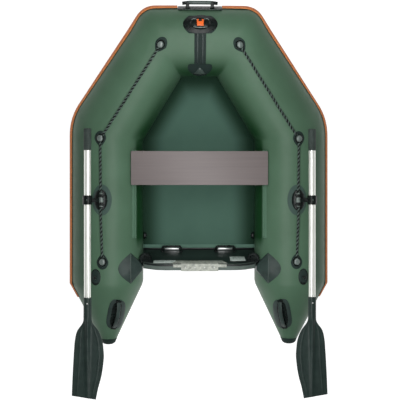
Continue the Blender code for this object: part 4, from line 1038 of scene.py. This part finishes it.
def bow_fitting():
    """The towing fitting on a blunt-ended patch, painted reflections on its rim, the latch in its middle.
    """
    centre = (0, FITTING_STATION + DATUM_Y)
    outline = []
    wide, long = FITTING_PATCH_HALF
    for x, y in circle(64):
        outline.append((wide * x, math.copysign(long * min(abs(y) * 1.3, 1), y)))
    patch = plan_patch(centre, outline, ((1.0, 0.0008), (0.99, 0.0013)))
    piece("bow_fitting_patch", patch, "glued_patch")
    moulded("bow_fitting", "black_nylon", width=0.0014, angle=24)
    moulded("bow_latch", "latch_nylon", "bow_latch", 0.0012)
    top = skin_axes(*centre)
    # painted reflections: thin pale glossy arcs on the fitting's rim
    ribs = []
    for x, y, half, bend in FITTING_GLINT_ARCS:
        run = []
        for i in range(9):
            share = i / 4 - 1
            along = x + half * share
            run.append(top @ Vector((along, y + bend * (1 - share**2), 0.0172 - 0.05 * abs(along))))
        ribs.append(tube_bar(run, 0.0020, 10))
    piece("bow_fitting_painted_glints", merged(*ribs), "polished_nylon")


STRAP_HALF = 0.0305
STRAP_RIBS = (  # one half: across from the middle as a share of the half-width, height in mm
    (0.10, 3.0), (0.16, 4.0), (0.34, 3.8), (0.40, 2.7), (0.66, 3.0), (0.74, 3.8), (0.94, 3.6),
    (1.0, 2.6), (1.0, 0.6),
)
STRAP_PROFILE = tuple((-x, z) for x, z in STRAP_RIBS[::-1]) + STRAP_RIBS
STRAP_START, STRAP_ARC = 87.6, 49.9  # degrees round the bow tube
STRAP_RAIL = (0.0135, 0.0044, 0.0030)  # off the middle, off the skin, radius
STRAP_END_ARC = (138.4, 174)  # degrees round the bow tube
STRAP_END_HALF, STRAP_END_CORNER = 0.067, 0.016


def bow_strap():
    frames = []
    for i in range(33):
        angle = math.radians(STRAP_START + STRAP_ARC * i / 32)
        frames.append(axes(bow_point(0, angle), (0, -math.sin(angle), math.cos(angle)), (1, 0, 0)))
    section = [(x * STRAP_HALF, z / 1000) for x, z in STRAP_PROFILE]
    piece("bow_strap_webbing", swept(section, frames), "black_webbing", "hull", ("bow_strap",), 30)
    off, lift, radius = STRAP_RAIL
    rails = []
    for side in SIDES.values():
        run = [bow_point(side * off, math.radians(88.6 + 48 * i / 20), lift) for i in range(21)]
        rails.append(tube_bar(run, radius, 12))
    piece("bow_strap_rails", merged(*rails), "rail_nylon")


def strap_end():
    """The half-moon patch that ends the strap inside the bow, its cap, and a painted shadow below the cap.
    """
    start, end = (math.radians(degrees) * BOW_R for degrees in STRAP_END_ARC)
    half, corner = STRAP_END_HALF, STRAP_END_CORNER
    near, far = -math.cos(start / BOW_R), -math.cos(end / BOW_R)
    outline = [(half - corner, start), (half - corner * 0.3, start + corner * 0.3)]
    for i in range(1, 24):
        angle = math.pi * i / 24
        reach = near + (far - near) * (0.23 + 0.77 * math.sin(angle))
        outline.append((half * math.cos(angle), BOW_R * math.acos(-reach)))
    outline += [(-x, y) for x, y in outline[1::-1]]
    patch = bmesh.new()
    face = patch.faces.new([patch.verts.new((x, y, 0.0008)) for x, y in outline])
    raised(patch, face, 0.0018)
    top = [f for f in patch.faces if all(v.co.z > 0.002 for v in f.verts)]
    bmesh.ops.inset_individual(patch, faces=top, thickness=0.004, depth=0.0006)
    bmesh.ops.triangulate(patch, faces=[f for f in patch.faces if len(f.verts) > 4])
    long_edges = [e for e in patch.edges if e.calc_length() > 0.012]
    bmesh.ops.subdivide_edges(patch, edges=long_edges, cuts=3, use_grid_fill=True)
    piece("strap_end_patch", wrapped(patch), "glued_patch", "hull", ("strap_anchor_patch",))

    cap = bmesh.new()
    corners = ((-0.005, 0.024), (0.005, 0.024), (0.034, 0.078), (-0.034, 0.078))
    face = cap.faces.new([cap.verts.new((x, start + run, 0.003)) for x, run in corners])
    lifted = raised(cap, face, 0.0075)
    middle = Vector((0, start + 0.057, 0))
    bmesh.ops.scale(cap, vec=(0.66, 0.66, 1), verts=lifted, space=Matrix.Translation(-middle))
    round_edges(cap, 0.0025, 20, 3)
    piece("strap_end_cap", wrapped(cap), "grey_nylon")
    # painted shadow: a black strip where the cap's shadow falls below it
    cap_shadow_strip = placed(block((0.070, 0.010, 0.005), 0.0015), Matrix.Translation((0, start + 0.085, 0.0048)))
    bmesh.ops.subdivide_edges(cap_shadow_strip, edges=cap_shadow_strip.edges[:], cuts=1, use_grid_fill=True)
    piece("strap_end_cap_shadow", wrapped(cap_shadow_strip), "black_nylon")


# ---- oarlocks and oars ----------------------------------------------------------------------------
OARLOCK_KNOB = ((0, 0.0), (0.0088, 0.0), (0.0094, 0.0015), (0.0090, 0.0050), (0.0060, 0.0075), (0, 0.0082))
BARREL_SLEEVE = (
    (0.0112, -0.0130), (0.0120, -0.0125), (0.0122, -0.0110), (0.0122, 0.0110),
    (0.0120, 0.0125), (0.0112, 0.0130), (0.0112, -0.0130),
)
COLLAR_RIB = (
    (0.0238, -0.0012), (0.0256, -0.0009), (0.0260, 0.0),
    (0.0256, 0.0009), (0.0238, 0.0012), (0.0238, -0.0012),
)
COLLAR_RIB_OFFSETS = (-0.020, -0.012, -0.004, 0.004, 0.012, 0.020)
COLLAR_STUD = ((0, 0.0), (0.0042, 0.0), (0.0040, 0.0016), (0, 0.0024))
OARLOCK_PATCH = ((1.0, 0.0006), (0.99, 0.0010), (0.93, 0.0012))  # share, height
OARLOCK_PATCH_X, OARLOCK_PATCH_HALF = 0.5225, (0.052, 0.083)


def oarlocks():
    for word, side in SIDES.items():
        centre = (side * OARLOCK_PATCH_X, DATUM_Y)
        patch = plan_patch(centre, oval(*OARLOCK_PATCH_HALF, count=64), OARLOCK_PATCH)
        piece(f"{word}_oarlock_patch", patch, "oarlock_patch")
        moulded(f"{word}_oarlock_base", "black_nylon", width=0.0012, angle=24)
        moulded(f"{word}_oarlock_arm", "black_nylon", f"{word}_oarlock", 0.0009)
        moulded(f"{word}_oar_collar", "black_nylon", f"{word}_oar", 0.0014)
        barrel = Vector((side * PIVOT.x, PIVOT.y, PIVOT.z))
        knobs = []
        for end in (-1, 1):
            knob = turned(OARLOCK_KNOB, 24)
            knobs.append(placed(knob, axes(barrel + Vector((0, end * 0.0302, 0)), (0, end, 0))))
        piece(f"{word}_oarlock_knobs", merged(*knobs), "polished_nylon")
        sleeve = placed(turned(BARREL_SLEEVE, 32), axes(barrel, (0, 1, 0)))
        piece(f"{word}_oarlock_sleeve", sleeve, "polished_nylon", f"{word}_oarlock")
        ribs = []
        oar_at = Vector((side * OAR_X, OAR.y, OAR.z))
        for offset in COLLAR_RIB_OFFSETS:
            ribs.append(placed(turned(COLLAR_RIB, 40), axes(oar_at + Vector((0, offset, 0)), (0, 1, 0))))
        piece(f"{word}_collar_ribs", merged(*ribs), "black_nylon", f"{word}_oar")
        stud = placed(turned(COLLAR_STUD, 20), Matrix.Translation(oar_at + Vector((0, 0, 0.0242))))
        piece(f"{word}_collar_stud", stud, "grey_nylon", f"{word}_oar")


BLADE_OUTLINE = (  # station, outboard half-width, inboard half-width
    (-0.600, 0.0208, 0.0208),
    (-0.640, 0.024, 0.025),
    (-0.685, 0.054, 0.057),
    (-0.735, 0.066, 0.077),
    (-0.7835, 0.070, 0.084),
    (-0.830, 0.073, 0.0855),
    (-0.924, 0.078, 0.0725),
    (-1.0234, 0.082, 0.044),
)
THROAT_FRONT = -0.510
SHAFT_BACK = -0.575
BLADE_SKEW = 0.021
GRIP_RINGS, GRIP_GROOVE = 11, 0.0009


BLADE_GRID = (56, 88)
BLADE_PLATE = 0.0032  # half the plate's thickness
BLADE_RIB_PROUD, BLADE_TIP_RIB = 0.0150, 0.0022
BLADE_RIDGES = (-0.66, 0.62)  # across, as shares of the half-width
BLADE_RIDGE_PROUD, BLADE_RIDGE_WIDTH = 0.0016, 0.035


def blade(word, side):
    """A grid bent over the blade's upper side, mirrored down, with a socket for the shaft."""
    bm = bmesh.new()
    bmesh.ops.create_grid(bm, x_segments=BLADE_GRID[0], y_segments=BLADE_GRID[1], size=1)
    tip = BLADE_OUTLINE[-1][0]
    for vert in bm.verts:
        angle = math.pi * (1 - vert.co.x) / 2
        station = THROAT_FRONT + (tip - THROAT_FRONT) * (1 - vert.co.y) / 2
        outboard, inboard = eased(BLADE_OUTLINE, station)
        share = held((-0.615 - station) / 0.41)
        middle, half = (outboard - inboard) / 2, (outboard + inboard) / 2
        across = math.cos(angle)
        x = middle + half * across
        round_part = THROAT_R * math.sin(angle)
        plate = BLADE_PLATE * min(math.sin(angle) * 5, 1)
        rib = BLADE_RIB_PROUD * (1 - share) + BLADE_TIP_RIB
        rib *= math.exp(-((x / (0.013 - 0.004 * share)) ** 2))
        swells = [math.exp(-(((across - at) / BLADE_RIDGE_WIDTH) ** 2)) for at in BLADE_RIDGES]
        ridges = BLADE_RIDGE_PROUD * sum(swells)
        fade = smooth_step(0.60, 0.65, -station)
        tip_fade = held((station - tip) / 0.03)
        z = round_part * (1 - fade) + (plate + rib * min(math.sin(angle) * 8, 1) + ridges * tip_fade) * fade
        if abs(across) > 0.99999:
            z = 0.0
        slant = -BLADE_SKEW * (outboard - x) / (outboard + inboard) * held((-0.98 - station) / 0.0434)
        vert.co = Vector((side * (OAR_X + x), station + slant + DATUM_Y, z))
    geom = bm.verts[:] + bm.edges[:] + bm.faces[:]
    bmesh.ops.mirror(bm, geom=geom, matrix=Matrix(), merge_dist=0.00005, axis="Z")
    bmesh.ops.translate(bm, vec=(0, 0, OAR.z), verts=bm.verts)
    open_edges = [e for e in bm.edges if e.is_boundary]
    front_y = THROAT_FRONT + DATUM_Y - 0.01
    loop = [e for e in open_edges if e.verts[0].co.y > front_y]
    bmesh.ops.edgeloop_fill(bm, edges=[e for e in open_edges if e.verts[0].co.y <= front_y])
    axis = Matrix.Translation((-side * OAR_X, 0, -OAR.z))
    for scale, back in (((SHAFT_R + 0.0003) / THROAT_R, 0), (1, SHAFT_BACK - THROAT_FRONT)):
        loop = new_loop(bmesh.ops.extrude_edge_only(bm, edges=loop)["geom"])
        verts = list({v for e in loop for v in e.verts})
        bmesh.ops.scale(bm, vec=(scale, 1, scale), space=axis, verts=verts)
        bmesh.ops.translate(bm, vec=(0, back, 0), verts=verts)
    bmesh.ops.edgeloop_fill(bm, edges=loop)
    piece(f"{word}_blade_moulding", bm, "blade_plastic", f"{word}_oar", (f"{word}_oar_blade",), 50)


def oars():
    for word, side in SIDES.items():
        body = f"{word}_oar"
        blade(word, side)
        moulded(f"{word}_oar_shaft", "oar_aluminium", body, 0.0003)
        low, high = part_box(f"{word}_oar_grip")
        radius, length = (high.x - low.x) / 2, high.y - low.y
        bore = SHAFT_R + 0.0003
        profile = [(bore, 0.0), (radius - 0.002, 0.0)]
        step = (length - 0.016) / GRIP_RINGS
        for i in range(GRIP_RINGS):
            start = 0.004 + step * i
            profile.append((radius - GRIP_GROOVE, start))
            profile += [(radius, start + step * 0.25), (radius, start + step * 0.8)]
        profile += [(radius, length - 0.006), (radius - 0.0012, length - 0.0015), (radius - 0.004, length)]
        profile += [(0, length), (0, length - 0.0055), (bore, length - 0.0055), (bore, 0.0)]
        grip = turned(profile, 40)
        placed(grip, axes((side * OAR_X, low.y, OAR.z), (0, 1, 0)))
        piece(f"{word}_oar_grip_foam", grip, "grip_foam", body, (f"{word}_oar_grip",))
        moulded(f"{word}_oar_button", "button_steel", f"{word}_oar_button", 0.0008)


STOW_POST = (0.556, -0.412)
STOW_PATCH = ((1.0, 0.0010), (0.97, 0.0018), (0.7, 0.0028), (0.64, 0.0034))


def stow_posts():
    x, station = STOW_POST
    for word, side in SIDES.items():
        patch = plan_patch((side * x, station + DATUM_Y), oval(0.027, 0.044, count=40), STOW_PATCH)
        piece(f"{word}_stow_patch", patch, "glued_patch")
        moulded(f"{word}_oar_stow_post", "black_nylon", width=0.0008)


# ---- seat -----------------------------------------------------------------------------------------
def seat():
    moulded("seat_board", "seat_plywood", "seat", 0.0014, segments=3)
    for word in SIDES:
        moulded(f"{word}_seat_runner", "grey_nylon", "seat", 0.0006)
        moulded(f"{word}_seat_rail", "rail_pvc", width=0.0008)


# ---- transom ---------------------------------------------------------------------------------------
def transom_axes(depth):
    """Axes on the transom: X across, Y up the rake, Z aft; depth is aft of the inner face."""
    sine, cosine = math.sin(TRANSOM_RAKE), math.cos(TRANSOM_RAKE)
    turn = Matrix(((1, 0, 0, 0), (0, -sine, -cosine, 0), (0, cosine, -sine, 0), (0, 0, 0, 1)))
    return Matrix.Translation(TRANSOM_FOOT) @ turn @ Matrix.Translation((0, 0, depth))


def screw(place, radius=0.0042):
    shoulder = ((radius, -0.0008), (radius * 0.96, 0.0008), (radius * 0.6, 0.0018))
    return placed(turned(((0, -0.0008), *shoulder, (0, 0.0022)), 18), place)


KNEE_RING = (
    (0, -0.0030), (0.0160, -0.0030), (0.0200, -0.0070), (0.0310, -0.0070), (0.0350, -0.0030),
    (0.0350, 0.0030), (0.0310, 0.0070), (0.0200, 0.0070), (0.0160, 0.0030), (0, 0.0030),
)


SADDLE_SCREWS = ((-0.125, 0.125), (-0.078, -0.026, 0.026, 0.078))  # across: on the face, on the top
BLANK_LABELS = {  # across, up the rake, width, height
    "blank_strip": (-0.190, 0.283, 0.122, 0.056),
    "blank_plate": (0.212, 0.222, 0.084, 0.090),
}


def transom():
    moulded("transom_board", "transom_plywood", width=0.002)
    moulded("transom_trim", "trim_vinyl", width=0.002)
    moulded("motor_saddle", "motor_pad_plastic", width=0.0012)
    moulded("motor_outer_pad", "motor_pad_plastic", width=0.0012)
    inner = transom_axes(0)
    facing = Matrix.Rotation(math.pi, 4, "Y")
    on_face, on_top = SADDLE_SCREWS
    screws = [screw(inner @ Matrix.Translation((x, 0.304, -0.0040)) @ facing) for x in on_face]
    upright = Matrix.Rotation(-math.pi / 2, 4, "X")
    for x in on_top:
        top = Matrix.Translation((x, TRANSOM_CROWN + 0.0038, TRANSOM_THICK / 2))
        screws.append(screw(inner @ top @ upright, 0.0036))
    piece("saddle_screws", merged(*screws), "button_steel")
    for name, (x, up, wide, tall) in BLANK_LABELS.items():
        plate = placed(block((wide, tall, 0.0016), 0.0006), inner @ Matrix.Translation((x, up, -0.0012)))
        piece(name, plate, "label_film")
    foot = [inner @ Vector((x, 0.003, -0.0035)) for x in (-0.372, -0.2, 0, 0.2, 0.372)]
    piece("transom_foot_seal", tube_bar(foot, 0.0046, 10), "transom_plywood")


EDGE_FILM = (  # along the top edge: across, up the rake
    (0.104, 0.3512), (0.185, 0.3512), (0.222, 0.3474), (0.250, 0.3390), (0.300, 0.3110), (0.3105, 0.2960),
)


def transom_edge():
    """The board's black film over the inner half of its top edge, and the saddle's apron across it."""
    inner = transom_axes(0.0022)
    section = [(-0.0068, -0.0006), (0.0030, -0.0006), (0.0030, 0.0012), (-0.0068, 0.0012)]
    for word, side in SIDES.items():
        frames = []
        points = [inner @ Vector((side * x, up, 0)) for x, up in EDGE_FILM]
        aft = (inner.to_3x3() @ Vector((0, 0, 1))).normalized()
        for i, place in enumerate(points):
            frames.append(axes(place, onward(points, i), aft))
        piece(f"{word}_transom_edge_film", swept(section, frames), "transom_plywood")
    apron = block((0.288, 0.0035, 0.0160), 0.0010)
    placed(apron, transom_axes(0.0030) @ Matrix.Translation((0, TRANSOM_CROWN + 0.0030, 0)))
    piece("saddle_apron", apron, "motor_pad_plastic")


def transom_seals():
    """Cloth tapes that close the joint of the board and the tubes, and a ring knee on each side."""
    inner = transom_axes(0)
    for word, side in SIDES.items():
        run = []
        for i in range(13):
            up = -0.004 + 0.286 * i / 12
            rise = SIDE_R - 0.040 - up * math.cos(TRANSOM_RAKE)
            reach = math.sqrt(max((SIDE_R - 0.002) ** 2 - rise**2, 0)) if rise > 0 else SIDE_R - 0.002
            run.append(inner @ Vector((side * (0.512 - reach), up, -0.0030)))
        piece(f"{word}_transom_seal", tube_bar(run, 0.0070, 12), "transom_plywood")
        knee = turned(KNEE_RING, 36)
        place = transom_axes(-0.012) @ Matrix.Translation((side * 0.296, 0.262, 0))
        lean = Matrix.Rotation(math.radians(side * 18), 4, "Y")
        placed(knee, place @ Matrix.Rotation(math.pi / 2, 4, "X") @ lean)
        piece(f"{word}_knee_ring", knee, "black_nylon")


BRACKET_RIDGE_X = 0.372
BRACKET_RIDGE_STATIONS = (-0.292, -0.315, -0.340, -0.368, -0.396, -0.421, -0.446)
TRANSOM_HANDLE_X, TRANSOM_HANDLE_FOOT_X = 0.154, 0.054  # its middle, and its feet from there
HANDLE_FOOT = ((0, -0.0003), (0.0125, -0.0003), (0.0120, 0.0022), (0.0070, 0.0040), (0, 0.0040))


def transom_fittings():
    for word, side in SIDES.items():
        wedge = from_cad(f"{word}_transom_bracket")
        tree = BVHTree.FromBMesh(wedge)
        wedge.free()
        moulded(f"{word}_transom_bracket", "bracket_nylon", width=0.003, angle=14, segments=3)
        ridge = []
        for station in BRACKET_RIDGE_STATIONS:
            above = spot(side * BRACKET_RIDGE_X, station, 0.44)
            hit = tree.ray_cast(above, Vector((0, 0, -1)))[0]
            ridge.append(hit + Vector((0, 0, 0.0004)))
        piece(f"{word}_bracket_ridge", tube_bar(ridge, 0.0028, 10), "grey_nylon")
        moulded(f"{word}_transom_handle", "black_nylon", width=0.0006)
        inner = transom_axes(0)
        x = side * TRANSOM_HANDLE_X
        plate = placed(block((0.082, 0.003, 0.012), 0.0008), inner @ Matrix.Translation((x, 0.036, -0.009)))
        piece(f"{word}_handle_plate", plate, "button_steel")
        feet = []
        for end in (-1, 1):
            foot = turned(HANDLE_FOOT, 24)
            place = inner @ Matrix.Translation((x + end * TRANSOM_HANDLE_FOOT_X, 0.045, -0.0004))
            feet.append(placed(foot, place @ Matrix.Rotation(math.pi, 4, "Y")))
        piece(f"{word}_transom_handle_feet", merged(*feet), "black_nylon")


# ---- cone handles and valves -------------------------------------------------------------------------
CONE_STRAP_ARCH = (  # share of the way along, height off the skin
    (0.00, 0.006), (0.06, 0.012), (0.14, 0.021), (0.29, 0.029), (0.50, 0.032), (0.71, 0.029), (0.86, 0.021),
    (0.94, 0.012), (1.00, 0.006),
)


CONE_STRAP_ENDS = ((0.440, -0.545), (0.474, -0.700))


def cone_handles():
    start, end = (Vector(where) for where in CONE_STRAP_ENDS)
    lean = math.atan2(start.x - end.x, start.y - end.y)
    centre = (start + end) / 2
    for word, side in SIDES.items():
        middle = (side * centre.x, centre.y + DATUM_Y)
        outline = oval(0.044, 0.086, -side * lean, 56, square=0.6)
        patch = plan_patch(middle, outline, ((1.0, 0.0018), (0.97, 0.0026), (0.80, 0.0030)))
        piece(f"{word}_cone_patch", patch, "bracket_nylon")
        opening = oval(0.024, 0.070, -side * lean, 48, square=0.6)
        well = plan_patch(middle, opening, ((1.0, 0.0036), (0.97, 0.0040)))
        piece(f"{word}_cone_well", well, "black_nylon")
        arch, normals = [], []
        for share, proud in CONE_STRAP_ARCH:
            flat = start + (end - start) * share
            place, normal = on_skin(side * flat.x, flat.y + DATUM_Y)
            arch.append(place + normal * proud)
            normals.append(normal)
        frames = []
        for i, (place, normal) in enumerate(zip(arch, normals)):
            along = onward(arch, i)
            frames.append(axes(place, along, along.cross(normal)))
        section = oval(0.0105, 0.0042, count=20, square=0.55)
        strap = swept(section, frames)
        piece(f"{word}_cone_strap", strap, "bracket_nylon", "hull", (f"{word}_cone_handle",), 50)
        blocks = []
        for share in (0.015, 0.985):
            flat = start + (end - start) * share
            foot = placed(block((0.030, 0.018, 0.012), 0.003), Matrix.Translation((0, 0, 0.0072)))
            blocks.append(placed(foot, skin_axes(side * flat.x, flat.y + DATUM_Y, -side * lean)))
        piece(f"{word}_cone_handle_feet", merged(*blocks), "black_nylon")


CONE_CAP_RUNS = (0.312, 0.318, 0.324, 0.331, 0.337, 0.3415, 0.3445)


def cone_caps():
    """A moulded cap over each stern cone's tip, dark to give the tip a painted shade."""
    rim = CONE_CAP_RUNS[0]
    profile = [(cone_radius(rim) - 0.002, rim)]
    profile += [(cone_radius(run) + 0.0014, run) for run in CONE_CAP_RUNS]
    profile += [(0.004, 0.3476), (0, 0.3478)]
    for word, side in SIDES.items():
        tip = Vector((side * CONE_TIP_X, AFT_END.y, AFT_END.z))
        # the cap's dark charcoal stands for painted shade at the tip
        cap = placed(turned(profile, 48), axes(tip, (0, -1, 0)))
        piece(f"{word}_cone_tip_shade_cap", cap, "glued_patch")


def valves():
    for word in SIDES:
        moulded(f"{word}_valve_body", "black_nylon", width=0.0006)
        moulded(f"{word}_valve_cap", "black_nylon", f"{word}_valve_cap", 0.0008)


# ---- the boat -----------------------------------------------------------------------------------------
studio()
rub_strakes()
floor_cloth()
lifelines()
rope_holders()
bow_handle()
bow_fitting()
bow_strap()
strap_end()
oarlocks()
oars()
stow_posts()
seat()
transom()
transom_edge()
transom_seals()
transom_fittings()
cone_handles()
cone_caps()
valves()
